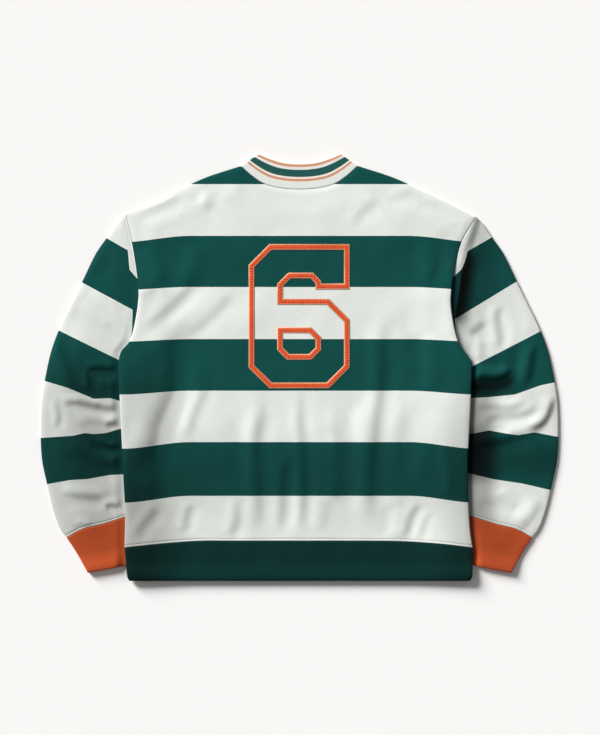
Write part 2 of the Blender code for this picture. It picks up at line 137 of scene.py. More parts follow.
FRONT_NECK_EDGE = [(66.8, 352), (63, 320), (52, 292), (35, 270), (17, 261), (0, 258.5)]

# Outline of the sleeves; the right one mirrors the left but for its armhole and underarm
ARMHOLE_POINTS = 12
TUCKED_POINTS = 5
TUCKED_ARMHOLE = {-1: [(-261, 75), (-254, 34)], 1: [(246, 70), (243, 34)]}
SLEEVE_INNER_START = {-1: [(-256, 0)], 1: [(249, 0)]}
SLEEVE_OUTER = [(-303, 236), (-316, 216), (-336, 187), (-356, 146), (-375, 107), (-394, 68),
                (-409, 28), (-418, -11), (-425, -51), (-427, -100), (-425, -150), (-417, -190),
                (-408, -229), (-397, -262), (-384, -281)]
SLEEVE_INNER_END = [(-262, -55), (-266, -112), (-263, -153), (-262, -194), (-265, -225), (-270, -243)]
CUFF_SEAM = [(-384, -281), (-356.7, -266.8), (-319.6, -257.4), (-288.4, -247.2), (-270, -243)]
CUFF_EDGE = [(-349, -338.5), (-315, -332.5), (-285, -326), (-252, -318)]
CUFF_OUTER = [(-384, -281), (-375, -294), (-365, -310), (-349, -338.5)]
CUFF_INNER = [(-270, -243), (-264, -262), (-258, -290), (-252, -318)]

# Ribs: how many round each piece's upper layer, and how deep
HEM_RIBS = 190
CUFF_RIBS = 46
NECK_RIBS = 72
FRONT_NECK_RIBS = 108
RIB_STEPS = 4
NECK_RIB_STEPS = 6
RIB_DEPTH = 0.22
# The folded edge of a rib is fuller than its seam
EDGE_FULLNESS = 4.0
EDGE_FULL_WIDTH = 34.0
FULLNESS_START = 8.0
RIB_EDGE_RADIUS = 3.0
EDGE_DROP = 1.6

# One-sided folds, where the cloth drops away from the light: drop, half width, points of the line.
# A negative drop faces the light.
TORSO_SLOPES = [
    # Across the left armhole and chest
    (2.2, 12, [(-246, 205), (-232, 178), (-222, 152), (-232, 128)]),
    (-2.2, 15, [(-178, 212), (-188, 178), (-205, 140)]),
    (1.4, 9, [(-262, 58), (-245, 72), (-222, 88), (-205, 104), (-185, 124), (-168, 150)]),
    (-1.5, 14, [(-232, 62), (-205, 82), (-170, 108), (-135, 150)]),
    (1.3, 8, [(-262, 112), (-246, 122), (-232, 134)]),
    (1.4, 10, [(-192, 52), (-165, 67), (-138, 91), (-118, 112), (-105, 128)]),
    # The long fold down to the lower left corner
    (2.6, 17, [(-208, 62), (-212, 30), (-208, 0), (-214, -34)]),
    (4.7, 19, [(-192, 0), (-207, -40), (-224, -78), (-240, -110), (-258, -150), (-274, -196)]),
    (2.6, 14, [(-228, -96), (-236, -140), (-236, -190), (-242, -222)]),
    (-2.4, 17, [(-184, 20), (-188, -30), (-200, -80), (-206, -130)]),
    (1.3, 9, [(-148, -22), (-160, -52), (-174, -84), (-182, -118)]),
    (2.1, 9, [(-228, -228), (-244, -244), (-258, -262), (-274, -286)]),
    (1.6, 8, [(-176, -222), (-184, -244), (-190, -276)]),
    # Down the middle
    (1.8, 9, [(-106, -212), (-102, -238), (-106, -262), (-116, -284)]),
    (2.2, 11, [(-62, -34), (-62, -80), (-70, -130), (-68, -200), (-66, -240), (-70, -284)]),
    (-1.4, 13, [(-92, -60), (-90, -140), (-86, -220)]),
    (1.7, 9, [(-22, -140), (-26, -190), (-28, -240), (-34, -282)]),
    (1.9, 9, [(2, -24), (2, -90), (8, -150), (8, -220), (6, -284)]),
    (-1.0, 9, [(-10, -150), (-8, -215), (-10, -270)]),
    (1.1, 11, [(46, -206), (42, -240), (36, -278)]),
    (1.5, 26, [(80, -110), (74, -160), (76, -215)]),
    # Down the right
    (3.2, 12, [(142, 100), (138, 40), (138, -20), (129, -84), (124, -150), (121, -212), (126, -270)]),
    (-2.2, 13, [(94, -40), (92, -110), (90, -190), (96, -262)]),
    (-2.2, 12, [(204, 60), (206, 10), (210, -40)]),
    (1.0, 13, [(228, 30), (234, -10), (230, -48)]),
    (1.2, 16, [(178, -60), (168, -110), (166, -160), (160, -205)]),
    (1.1, 15, [(212, -120), (208, -165), (200, -205)]),
    (-1.7, 8, [(224, -128), (236, -165), (240, -212)]),
    (2.2, 8, [(202, -222), (186, -244), (178, -270), (176, -286)]),
    (1.4, 7, [(214, -236), (204, -262), (196, -286)]),
    (-1.2, 9, [(160, -226), (152, -256), (148, -284)]),
    # The yoke
    (1.4, 9, [(192, 290), (166, 282), (144, 282)]),
    (1.1, 9, [(134, 274), (114, 264), (98, 248), (92, 228)]),
    (1.2, 8, [(240, 268), (214, 270), (196, 274)]),
    (1.2, 10, [(214, 212), (226, 190), (222, 160), (214, 130)]),
    (-1.6, 11, [(192, 208), (196, 178), (204, 140)]),
    (-1.4, 9, [(236, 172), (240, 150), (236, 128)]),
    (1.7, 9, [(-188, 284), (-220, 268), (-256, 256), (-276, 250)]),
    (-1.2, 8, [(-166, 290), (-164, 280), (-166, 266)]),
    (1.0, 9, [(-148, 288), (-146, 268), (-160, 258)]),
]
LEFT_SLOPES = [
    (1.7, 11, [(-330, 196), (-322, 180), (-338, 152)]),
    (3.4, 10, [(-396, 58), (-392, 30), (-384, 6), (-374, -20), (-366, -44)]),
    (4.5, 7, [(-356, -6), (-332, -3), (-304, -5), (-290, -6)]),
    (3.4, 6, [(-350, -4), (-346, -20), (-344, -38)]),
    (3.6, 7, [(-392, -70), (-384, -60), (-368, -58), (-346, -62), (-320, -68), (-300, -70), (-286, -70)]),
    (-2.0, 9, [(-372, -42), (-350, -50), (-324, -54)]),
    (3.4, 6, [(-322, -98), (-312, -94), (-296, -95), (-282, -96)]),
    (2.0, 6, [(-404, -50), (-396, -78), (-400, -104)]),
    (4.2, 6, [(-342, -116), (-330, -126), (-314, -132), (-294, -134), (-282, -136)]),
    (3.6, 13, [(-392, -134), (-366, -142), (-342, -152), (-316, -162), (-288, -166)]),
    (-1.7, 8, [(-340, -138), (-318, -146), (-296, -148)]),
    (3.4, 9, [(-400, -208), (-376, -212), (-352, -214), (-330, -216), (-314, -222)]),
    (2.7, 6, [(-322, -232), (-312, -228), (-290, -231)]),
    (1.7, 6, [(-372, -258), (-352, -262), (-338, -258)]),
]
RIGHT_SLOPES = [
    (3.6, 12, [(287, 196), (278, 160), (270, 120), (266, 84)]),
    (2.2, 8, [(306, 78), (294, 64), (276, 54)]),
    (2.6, 8, [(330, 106), (326, 84), (330, 52), (332, 26)]),
    (1.5, 7, [(296, 56), (300, 30), (304, 14)]),
    (-1.6, 10, [(286, 44), (292, 24), (286, 8)]),
    (3.2, 9, [(396, 48), (388, 20), (382, -12), (372, -36)]),
    (-3.2, 9, [(366, 44), (366, 14), (360, -8), (346, -26), (318, -34)]),
    (6.2, 9, [(268, -20), (300, -20), (326, -20), (346, -14), (358, 2)]),
    (-3.0, 9, [(272, -2), (300, -2), (326, -4), (344, 0)]),
    (1.6, 7, [(284, -62), (312, -66), (346, -68), (374, -60)]),
    (2.0, 7, [(300, -92), (322, -82), (352, -80), (380, -74), (394, -56)]),
    (-1.5, 9, [(300, -54), (340, -54), (374, -46)]),
    (-0.6, 11, [(398, -30), (394, -58), (380, -82), (356, -94)]),
    (4.2, 9, [(418, -44), (416, -74), (402, -96), (378, -106)]),
    (3.6, 11, [(268, -134), (296, -130), (330, -124), (366, -114), (396, -112)]),
    (-1.6, 8, [(296, -114), (326, -110), (352, -108)]),
    (1.4, 12, [(290, -222), (322, -222), (344, -210)]),
    (2.2, 12, [(404, -210), (394, -236), (376, -258), (356, -268)]),
    (-1.5, 14, [(382, -212), (368, -236), (342, -252)]),
]
# Folds of both sides alike: height above the cloth, half width, points of the line
TORSO_CREASES = [
    (0.5, 15, [(50, -54), (57, -153), (50, -252)]),
    (-0.5, 2.4, [(275, -205), (275.5, -240), (276, -262), (277, -292)]),
]
LEFT_CREASES = [
    (1.4, 15, [(-340, -24), (-318, -26), (-296, -30), (-272, -34)]),
    (0.8, 16, [(-366, 112), (-340, 84), (-306, 66)]),
    (1.0, 15, [(-375, -90), (-346, -84), (-313, -84), (-284, -84)]),
    (-1.1, 5, [(-286, 214), (-283, 193), (-280, 160), (-276, 133), (-275, 95), (-276, 63), (-280, 36)]),
]
RIGHT_CREASES = [
    (0.8, 15, [(369, 111), (377, 78), (380, 51)]),
    (0.8, 16, [(331, -199), (341, -219), (357, -232)]),
    (-1.0, 5, [(289, 234), (277, 192), (271, 170), (265, 158), (262, 128), (257, 97), (256, 78)]),
]
# Painted shade, deepest in the hollows and beside the torso's edge, where the torso shadows the sleeves:
# share, half width, line
TORSO_PAINTED_SHADE = [
    (0.16, 130, [(-420, -190), (-100, -190), (100, -190), (420, -190)]),
    (0.30, 75, [(-262, 60), (-262, -60), (-275, -190), (-290, -420)]),
    (0.30, 80, [(-262, -170), (-255, -260), (-262, -430)]),
    (0.25, 110, [(300, 0), (300, -140), (300, -420)]),
]
LEFT_PAINTED_SHADE = [
    (0.44, 105, [(-350, 60), (-345, -60), (-340, -180), (-335, -380)]),
    (0.12, 50, [(-470, 110), (-380, 95), (-290, 72)]),
    (0.14, 60, [(-428, 0), (-430, -120), (-400, -300)]),
]
RIGHT_PAINTED_SHADE = [
    (0.62, 11, [(305, 290), (290, 231), (284, 211), (276, 188), (266, 150)]),
    (0.94, 32, [(276, 208), (268, 165), (262, 120), (259, 90), (262, 50)]),
    (0.30, 65, [(300, 290), (285, 170), (275, 90), (275, 0)]),
    (0.30, 18, [(258, 66), (264, 44), (276, 18), (284, -4)]),
    (0.66, 18, [(246, -33), (300, -32), (336, -30), (366, -10)]),
    (0.42, 22, [(278, 20), (282, -60), (280, -160), (282, -340)]),
    (0.56, 40, [(303, 20), (302, -60), (300, -180), (302, -330)]),
    (0.52, 60, [(284, -84), (284, -143), (284, -202)]),
    (0.26, 55, [(220, -150), (340, -150), (480, -160)]),
    (0.08, 60, [(230, -70), (350, -70), (500, -72)]),
    (0.55, 9, [(421, -44), (414, -70), (400, -92), (370, -107)]),
    (0.34, 70, [(345, -236), (335, -300), (330, -420)]),
]
SIDE_NAMES = {-1: "left", 1: "right"}
# The sleeves' folds, and the painted shade on each sleeve
SLEEVE_FOLDS_AND_SHADE = {-1: (LEFT_SLOPES, LEFT_CREASES, LEFT_PAINTED_SHADE), 1: (RIGHT_SLOPES, RIGHT_CREASES, RIGHT_PAINTED_SHADE)}
# The cuffs take a part of the sleeve's painted shade, and every rolled edge has a little more painted shade
CUFF_PAINTED_SHADE = 0.6
# In the tuck beside the armhole only the upper part takes the painted shade in full
TUCK_SHADE_START = 3.0
TUCK_SHADE_Y = 176.0
TUCK_SHADE_FADE = 36.0
TUCK_SHADE_LEAST = 0.35
# Painted shade on the rolled edges, fading out from the left to the right over this spread
EDGE_PAINTED_SHADE = 0.75
EDGE_SHADE_SPREAD = 700.0
# The green takes the painted shade more deeply
GREEN_SHADE_DEPTH = 1.75

# Soft folds of the front, which faces the table: the same two kinds, mirrored from side to side
FRONT_SLOPE_SHARE = 0.3
FRONT_WAVE_SHARE = 0.6
AWAY_FROM_LIGHT = (0.6, -0.8)

# Small unevenness of cloth: height, wavelength
WAVES = [(0.35, 110.0), (0.12, 52.0)]
WAVES_PER_SIZE = 7
WAVE_SEED = 6

# Lower edges of the stripes, down the middle of the torso and at its side edges
TORSO_STRIPES = [(301.5, 291), (216.2, 206), (132, 127), (46.2, 42), (-38.8, -45), (-123.4, -134),
                 (-212, -223)]
DROOP_START_X = 180.0
DROOP_END_X = 292.0
STRIPE_DEPTH = 85.0
# How far the last stripe of a sleeve may run on, as a share of a stripe
LAST_STRIPE = 0.95
# Edges of the sleeves' stripes, from the shoulder down
LEFT_STRIPES = [
    [(-318, 212.6), (-283, 192.6)],
    [(-357, 138.8), (-276, 95.1)],
    [(-395, 59.6), (-298, 11.8)],
    [(-418, -23.3), (-381, -34.4), (-339, -52.2), (-312, -51.1), (-297, -55.5)],
    [(-425, -116.7), (-372, -112.9), (-354, -108.5), (-339, -110.1), (-319, -108.5), (-292, -100.4)],
    [(-414, -192.5), (-378, -185.9), (-350, -184.4), (-312, -177.6), (-290, -176.6)],
]
RIGHT_STRIPES = [
    [(278, 191.6), (318, 214.7)],
    [(256, 79.0), (358, 141.2)],
    [(285, 1.1), (397, 59.0)],
    [(283, -50.9), (313, -49.3), (355, -45.1), (399, -29.5), (420, -25.3)],
    [(280, -110.6), (312, -104.0), (343, -109.6), (360, -111.8), (387, -107.3), (427, -115.1)],
    [(279, -174.8), (320, -184.7), (365, -191.3), (413, -202.4)],
]
# The tuck beside each armhole: its fold line, and the edge between its white and green parts
TUCK_FOLD = {-1: [(-284, 206), (-283, 192.6), (-280, 160), (-276, 132.7), (-275, 115.7), (-275, 94.8),
                  (-276, 63.3), (-278, 44.3), (-290, 30)],
             1: [(289, 233.7), (277, 191.6), (271, 170.5), (265, 158), (262, 128.5), (257, 96.9),
                 (256, 78), (258, 56), (262, 40)]}
TUCK_STRIPE = {-1: [(-280, 160.3), (-265, 143.1)], 1: [(252, 147.4), (268, 162.1)]}
TUCK_END = 4.0
NO_TUCK = -10.0

# Numeral: a plain six drawn as two felt strips, with cut corners
NUMBER_CENTRE = (-0.5, 83.8)
NUMBER_WIDTH = 166.0
NUMBER_HEIGHT = 237.0
NUMBER_STROKE = 56.0
NUMBER_CORNER = 34.0
NUMBER_NECK_CORNER = 13.0
NUMBER_HOOK_CORNER = 8.0
NUMBER_COUNTER_CORNER = 16.0
NUMBER_BOWL_HEIGHT = 147.0
NUMBER_TIP = 18.0
STRIP_WIDTH = 9.0
STRIP_STEP = 1.6
HATCH_PITCH = 4.6
HATCH_SLANT = 7.0
STRIP_SUNK = 0.35
# Height of the strip above the cloth: place across its width, height
STRIP_PROFILE = [(0.0, -0.3), (0.02, 0.3), (0.07, 0.62), (0.18, 0.66), (0.3, 0.86), (0.5, 0.94),
                 (0.7, 0.86), (0.82, 0.66), (0.93, 0.62), (0.98, 0.3), (1.0, -0.3)]

# Threads: length, thickness, the spacing along a row, and how high they stand
SEAM_THREAD = (2.6, 0.42, 3.3, 0.10)
EDGE_THREAD = (2.3, 0.5, 1.15, 0.12)
# A stitch's shape: place along it, width as a share, height as a share of its rise
THREAD_SHAPE = [(0.0, 0.35, -0.5), (0.2, 0.9, 0.6), (0.5, 1.0, 1.0), (0.8, 0.9, 0.6), (1.0, 0.35, -0.5)]
THREAD_SIDES = 4
THREAD_RING_STEP = 0.6
THREAD_TWIST = 0.5
# How high a thread's middle lies, in radii; how much of it lies outside the felt; how far it leans
THREAD_SEAT = 0.4
THREAD_OUTSIDE = 0.35
THREAD_LEAN = 0.35
# Rays that find a surface's height start here
RAY_START = 100.0

# Cloth surfaces: roughness and sheen
CLOTH_FINISH = (0.9, 0.03)
FELT_FINISH = (0.95, 0.35)
THREAD_FINISH = (0.6, 0.1)
FLOOR_FINISH = (0.9, 0.0)
SPECULAR = 0.08
SHEEN_ROUGHNESS = 0.45
# The part of a noise texture's range that is used
NOISE_RANGE = (0.3, 0.7)
# Knit: pitch of the columns, pitch of the rows and depth
JERSEY_KNIT = (1.25, 0.95, 0.18)
RIB_KNIT = (1.0, 0.75, 0.06)
COLLAR_KNIT = (1.1, 0.9, 0.12)
KNIT_SLANT = 2.2
KNIT_ROW_SHARE = 0.35
KNIT_SHADE = (0.94, 1.02)
# A noise is its scale, detail and roughness; a relief is its depth in millimetres and its strength
STREAK_NOISE = (1.0, 3.0, 0.6)
MOTTLE_NOISE = (0.045, 3.0)
FIBRE_NOISE = (1.6,)
STREAK_RELIEF = (0.30, 0.6)
FIBRE_RELIEF = (0.16, 0.5)
KNIT_STRENGTH = 0.7
# Streaks run along the rows: how far they are stretched across and along
STREAK_STRETCH = (0.10, 0.85)
STREAK_SHADE = 0.035
MOTTLE_SHADE = 0.015
# The knit makes stripe edges a little ragged; the added bands keep the count above 0
RAGGED_STRETCH = (1.0, 0.6)
RAGGED_SCALE = 0.8
RAGGED_RANGE = (0.2, 0.8)
RAGGED_DEPTH = 0.004
ADDED_BANDS = 20.0
# Painted shade in a rib's grooves and painted highlight on its ridges: the factor in the grooves and on the
# ridges
CUFF_SHADES = (0.95, 1.01)
HEM_SHADES = (0.80, 1.04)
COLLAR_SHADES = (0.93, 1.08)
# Felt: its fluff, its patches, where its paler edge runs and where the hatching fades out
FLUFF_NOISE = (1.1, 4.0, 0.7)
PATCH_NOISE = (0.16,)
FLUFF_RELIEF = (0.5, 0.8)
HATCH_RELIEF = (0.5, 0.7)
PALE_EDGE = (0.62, 0.80)
HATCH_FADE = (0.80, 0.55)
HATCH_RANGE = (0.25, 0.75)
HATCH_SHADE = (-0.36, 0.06)
FLUFF_SHADE = (0.84, 1.1)
PATCH_SHADE = (0.94, 1.06)
THREAD_SHADE = (0.88, 1.04)
THREAD_RELIEF = (0.08, 0.6)
FLOOR_NOISE = (3.0,)
FLOOR_SHADE = (0.998, 1.002)

# Colours as linear red, green and blue
OFF_WHITE = (0.75, 0.775, 0.73)
CREAM = (0.86, 0.77, 0.68)
GREEN = (0.0040, 0.066, 0.058)
HEM_GREEN = (0.0022, 0.029, 0.025)
RIB_ORANGE = (0.50, 0.084, 0.024)
COLLAR_ORANGE = (0.61, 0.30, 0.18)
COLLAR_GREEN = (0.018, 0.092, 0.082)
FELT_ORANGE = (0.82, 0.105, 0.028)
EDGE_ORANGE = (0.90, 0.45, 0.28)
FLOOR_WHITE = (0.90, 0.885, 0.87)

# The collar's stripes: where each starts, as a share of the rib's depth from the seam, and its colour
COLLAR_STRIPES = [(0.0, OFF_WHITE), (0.27, CREAM), (0.295, COLLAR_ORANGE), (0.39, CREAM),
                  (0.462, COLLAR_GREEN), (0.735, OFF_WHITE), (0.81, CREAM), (0.842, COLLAR_ORANGE),
                  (0.944, CREAM)]

# Camera and light
VIEW_CENTRE = (0.8, -0.6)
VIEW_HEIGHT = 1212.75
FLOOR_SIZE = 60.0
LENS = 100.0
SENSOR = 36.0
SUN_ELEVATION = 22.0
SUN_AZIMUTH = 135.0
SUN_ANGLE = 24.0
SUN_STRENGTH = 7.0
WORLD_STRENGTH = 0.225
CLIP_NEAR = 0.1
CLIP_FAR = 50.0
FLOOR_DROP = 0.2


def smooth(value):
    """A soft step from 0 to 1."""
    value = np.clip(value, 0.0, 1.0)
    return value * value * (3.0 - 2.0 * value)


def turned(points, side):
    """Points of the left side as they are, or mirrored to the right side."""
    return points if side < 0 else [(-x, y) for x, y in points]


def curve(points, cells=EDGE_CELLS, samples=24):
    """Even steps along a smooth curve through the points."""
    points = np.array(points, dtype=float)
    padded = np.vstack([2 * points[0] - points[1], points, 2 * points[-1] - points[-2]])
    fine = []
    for a, b, c, d in zip(padded, padded[1:], padded[2:], padded[3:]):
        for t in np.linspace(0.0, 1.0, samples, endpoint=False):
            fine.append(0.5 * (2 * b + (c - a) * t + (2 * a - 5 * b + 4 * c - d) * t ** 2
                               + (3 * b - a - 3 * c + d) * t ** 3))
    return resample(np.array(fine + [points[-1]]), np.linspace(0.0, 1.0, cells + 1))


def joined(*curves):
    """Curves as one line; each starts where the one before it ends."""
    return np.vstack([curves[0]] + [part[1:] for part in curves[1:]])


def fractions(line):
    """How far along a line each of its points is, from 0 to 1."""
    lengths = np.linalg.norm(np.diff(line, axis=0), axis=1)
    return np.concatenate([[0.0], np.cumsum(lengths)]) / lengths.sum()


def resample(line, places):
    """Points of a line at the given fractions of its length."""
    along = fractions(line)
    return np.column_stack([np.interp(places, along, line[:, 0]), np.interp(places, along, line[:, 1])])


def line_length(line):
    return np.linalg.norm(np.diff(line, axis=0), axis=1).sum()


def steps(length, cells, low, high):
    """Fractions of a length: even cells, with the closer lines given for its two ends."""
    even = np.linspace(low[-1], length - high[-1], cells + 1)
    return np.concatenate([low[:-1], even, length - np.array(high[-2::-1])]) / length


def spaced(line, cells, low, high):
    """Points along a line, with the closer lines given for its two ends."""
    return resample(line, steps(line_length(line), cells, low, high))


def edge_patch(start, end, left, right):
    """A grid of points between four edge curves: rows run from start to end, columns left to right."""
    across = (0.5 * (fractions(start) + fractions(end)))[None, :, None]
    along = (0.5 * (fractions(left) + fractions(right)))[:, None, None]
    between_ends = (1 - along) * start[None] + along * end[None]
    between_sides = (1 - across) * left[:, None] + across * right[:, None]
    corners = ((1 - along) * ((1 - across) * start[0] + across * start[-1])
               + along * ((1 - across) * end[0] + across * end[-1]))
    return between_ends + between_sides - corners


def runs(grid, axis):
    """Distance of each grid point from the grid's first line, along the grid."""
    lengths = np.linalg.norm(np.diff(grid, axis=axis), axis=-1)
    zero = np.zeros_like(np.take(lengths, [0], axis=axis))
    return np.cumsum(np.concatenate([zero, lengths], axis=axis), axis=axis)


def gaps(grid):
    """Distance from the first and the last column, and from the first and the last row."""
    found = []
    for axis in (1, 0):
        run = runs(grid, axis)
        found += [run, np.take(run, [-1], axis=axis) - run]
    return found


def distance_to(points, line):
    """Distance from a polyline, how far along it the nearest place is (0 to 1), and the side."""
    line = np.asarray(line, dtype=float)
    ends = np.concatenate([[0.0], np.cumsum(np.linalg.norm(np.diff(line, axis=0), axis=1))])
    best = np.full(points.shape[:-1], np.inf)
    place = np.zeros(points.shape[:-1])
    side = np.zeros(points.shape[:-1])
    for index in range(len(line) - 1):
        step = line[index + 1] - line[index]
        offset = points - line[index]
        t = np.clip((offset @ step) / (step @ step), 0.0, 1.0)
        gap = np.linalg.norm(offset - t[..., None] * step, axis=-1)
        nearer = gap < best
        best = np.where(nearer, gap, best)
        place = np.where(nearer, (ends[index] + t * (ends[index + 1] - ends[index])) / ends[-1], place)
        side = np.where(nearer, np.sign(offset[..., 0] * step[1] - offset[..., 1] * step[0]), side)
    return best, place, side


def fold_ends(place):
    """Fades a fold out towards its two ends; place runs from 0 to 1 along it."""
    return smooth(4.0 * np.minimum(place, 1.0 - place))


def crease_relief(points, folds):
    """Soft ridges and troughs, each fading out at its two ends."""
    total = np.zeros(points.shape[:-1])
    for height, half_width, line in folds:
        gap, place, _ = distance_to(points, curve(line, FOLD_CELLS))
        hump = 0.5 + 0.5 * np.cos(np.pi * np.clip(gap / half_width, 0.0, 1.0))
        total += height * hump * fold_ends(place)
    return total


def slope_relief(points, folds):
    """Folds whose steep side faces away from the light, with a ridge before it and a trough behind."""
    total = np.zeros(points.shape[:-1])
    for drop, half_width, line in folds:
        gap, place, side = distance_to(points, curve(line, FOLD_CELLS))
        chord = np.subtract(line[-1], line[0])
        facing = np.sign(chord[1] * AWAY_FROM_LIGHT[0] - chord[0] * AWAY_FROM_LIGHT[1])
        t = gap * side * facing / half_width
        profile = -0.5 * t * np.exp(0.5 * (1.0 - t ** 2))
        total += drop * profile * fold_ends(place)
    return total


def wave_relief(points):
    """Faint unevenness, as a sum of waves in seeded directions."""
    random = np.random.default_rng(WAVE_SEED)
    total = np.zeros(points.shape[:-1])
    for height, length in WAVES:
        for _ in range(WAVES_PER_SIZE):
            turn, shift, stretch = random.uniform((0, 0, 0.75), (np.pi, 2 * np.pi, 1.3))
            way = np.array([np.cos(turn), np.sin(turn)]) * 2 * np.pi / (length * stretch)
            total += height / np.sqrt(WAVES_PER_SIZE) * np.sin(points @ way + shift)
    return total


def upper_relief(points, rim_gap, slopes, creases):
    """Height of an upper layer above its flattest place, 0 along the rim."""
    puff = LAYER_PUFF * smooth(rim_gap / PUFF_WIDTH)
    fade = smooth(rim_gap / FOLD_FADE)
    folds = slope_relief(points, slopes) + crease_relief(points, creases)
    relief = puff + (folds + wave_relief(points)) * fade
    low = LOWEST_PUFF * fade
    return low + 0.5 * (relief - low + np.sqrt((relief - low) ** 2 + LOWEST_SOFTNESS * fade))


def under_relief(points, rim_gap, slopes, creases):
    """Height of the lower layer's folds above the table: similar folds, mirrored and much lower."""
    flipped = points * (-1, 1)
    folds = (FRONT_SLOPE_SHARE * (slope_relief(flipped, slopes) + crease_relief(flipped, creases))
             + FRONT_WAVE_SHARE * wave_relief(flipped))
    return np.clip(0.5 * UNDER_RELIEF + 0.5 * folds, 0.0, UNDER_RELIEF) * smooth(rim_gap / FOLD_FADE)


def torso_lift(points):
    """Rise of both torso layers where the torso's sides lie over the sleeves."""
    x, y = np.abs(points[..., 0]), points[..., 1]
    sideways = smooth((x - LIFT_START_X) / (LIFT_END_X - LIFT_START_X))
    upwards = smooth((LIFT_TOP_Y - y) / (LIFT_TOP_Y - LIFT_FULL_Y))
    lowered = sum(share * smooth((start - y) / length) for share, start, length in LIFT_LOWERED)
    return SIDE_LIFT * sideways * upwards * (1.0 - lowered)


def torso_edge_x(y, side):
    """The torso's edge beside the sleeve, at a height y."""
    edge = LEFT_SIDE + LEFT_ARMHOLE[1:] if side < 0 else RIGHT_SIDE + RIGHT_ARMHOLE[1:]
    edge = np.array(edge, dtype=float)
    return np.interp(y, edge[:, 1], edge[:, 0])


def sleeve_press(points, side):
    """0 where the torso lies on the sleeve, 1 well outside the torso's edge."""
    y = points[..., 1]
    outward = side * (points[..., 0] - torso_edge_x(y, side))
    pressed = smooth((outward - PRESS_START) / PRESS_WIDTH)
    return np.maximum(pressed, smooth((y - LIFT_FULL_Y) / (LIFT_TOP_Y - LIFT_FULL_Y)))


def rounding(gap, radius):
    """1 away from an edge, falling to 0 at it as a quarter circle."""
    return np.sqrt(1.0 - (1.0 - np.clip(gap / radius, 0.0, 1.0)) ** 2)


def seam_drop(gap):
    """How far the cloth turns down beside a seam."""
    return SEAM_DROP * (1.0 - rounding(gap, SEAM_RADIUS))


def stitch_groove(gap):
    """The shallow line that a row of stitches pulls into the cloth."""
    off = np.abs(gap - STITCH_LINE) / STITCH_GROOVE_WIDTH
    return STITCH_GROOVE * (0.5 + 0.5 * np.cos(np.pi * np.clip(off, 0.0, 1.0)))


def offset_curve(line, amount):
    """Moves a curve sideways, to the right of its direction for a positive amount."""
    direction = np.gradient(line, axis=0)
    direction /= np.linalg.norm(direction, axis=1)[:, None]
    return line + amount * np.column_stack([direction[:, 1], -direction[:, 0]])


def plan_area(grid):
    """Area of a grid of plan points, in square metres."""
    ahead = grid[1:, 1:] - grid[:-1, :-1]
    beside = grid[1:, :-1] - grid[:-1, 1:]
    return 0.5 * np.abs(ahead[..., 0] * beside[..., 1] - ahead[..., 1] * beside[..., 0]).sum() * MM * MM


def quads(index):
    """Four-sided faces between neighbours on a grid of point numbers."""
    corners = (index[:-1, :-1], index[:-1, 1:], index[1:, 1:], index[1:, :-1])
    return np.stack(corners, axis=-1).reshape(-1, 4)


def closed(index):
    """Point numbers with their first column once more after the last one."""
    return np.concatenate([index, index[..., :1]], axis=-1)


def add_mesh(name, points, faces, values, material):
    """A smooth mesh from points in millimetres and four-sided faces, with a value for each point."""
    a, b, c, d = (points[faces[:, k]] for k in range(4))
    volume = (np.cross(b, c) * a).sum() + (np.cross(c, d) * a).sum()
    if volume < 0:
        faces = faces[:, ::-1]
    mesh = bpy.data.meshes.new(name)
    mesh.from_pydata((points * MM).tolist(), [], faces.tolist())
    for key, value in values.items():
        layer = mesh.attributes.new(key, "FLOAT", "POINT")
        layer.data.foreach_set("value", np.ascontiguousarray(value, dtype=np.float32))
    mesh.shade_smooth()
    mesh.set_sharp_from_angle(angle=np.radians(SHARP_ANGLE))
    mesh.materials.append(material)
    piece = bpy.data.objects.new(name, mesh)
    bpy.context.scene.collection.objects.link(piece)
    return piece


def heights(plan, z):
    """Plan points with their heights."""
    return np.concatenate([plan, z[..., None]], axis=-1)


def shell(name, plan, top, bottom, values, material):
    """A thin closed sheet between two height fields on one grid."""
    index = np.arange(top.size).reshape(top.shape)
    under = index + top.size
    ring = np.concatenate([index[0], index[1:, -1], index[-1, -2::-1], index[-2:0:-1, 0]])
    after = np.roll(ring, -1)
    border = np.column_stack([after, ring, ring + top.size, after + top.size])
    faces = np.vstack([quads(index), quads(under)[:, ::-1], border])
    points = np.vstack([heights(plan, top).reshape(-1, 3), heights(plan, bottom).reshape(-1, 3)])
    doubled = {key: np.tile(value.ravel(), 2) for key, value in values.items()}
    return add_mesh(name, points, faces, doubled, material)


def round_trip(upper, lower):
    """Loops over the upper layer and back under the lower one, which share their two end points."""
    return np.concatenate([upper, lower[:, -2:0:-1]], axis=1)


def inner_layer(plan, z, middle, wall, sign):
    """The inside face of one layer of a flattened tube, inset from the folded edges."""
    run = runs(plan, 1)
    out = np.empty(plan.shape[:2] + (3,))
    for row in range(len(plan)):
        length = run[row, -1]
        inset = INNER_INSET * wall
        place = inset + (length - 2 * inset) * run[row] / length
        roll = rounding(np.minimum(place, length - place) - inset, INNER_RADIUS)
        depth = np.maximum(sign * (np.interp(place, run[row], z[row]) - middle[row]) - wall, INNER_LEAST)
        out[row, :, 0] = np.interp(place, run[row], plan[row, :, 0])
        out[row, :, 1] = np.interp(place, run[row], plan[row, :, 1])
        out[row, :, 2] = middle[row] + sign * depth * roll
    return out


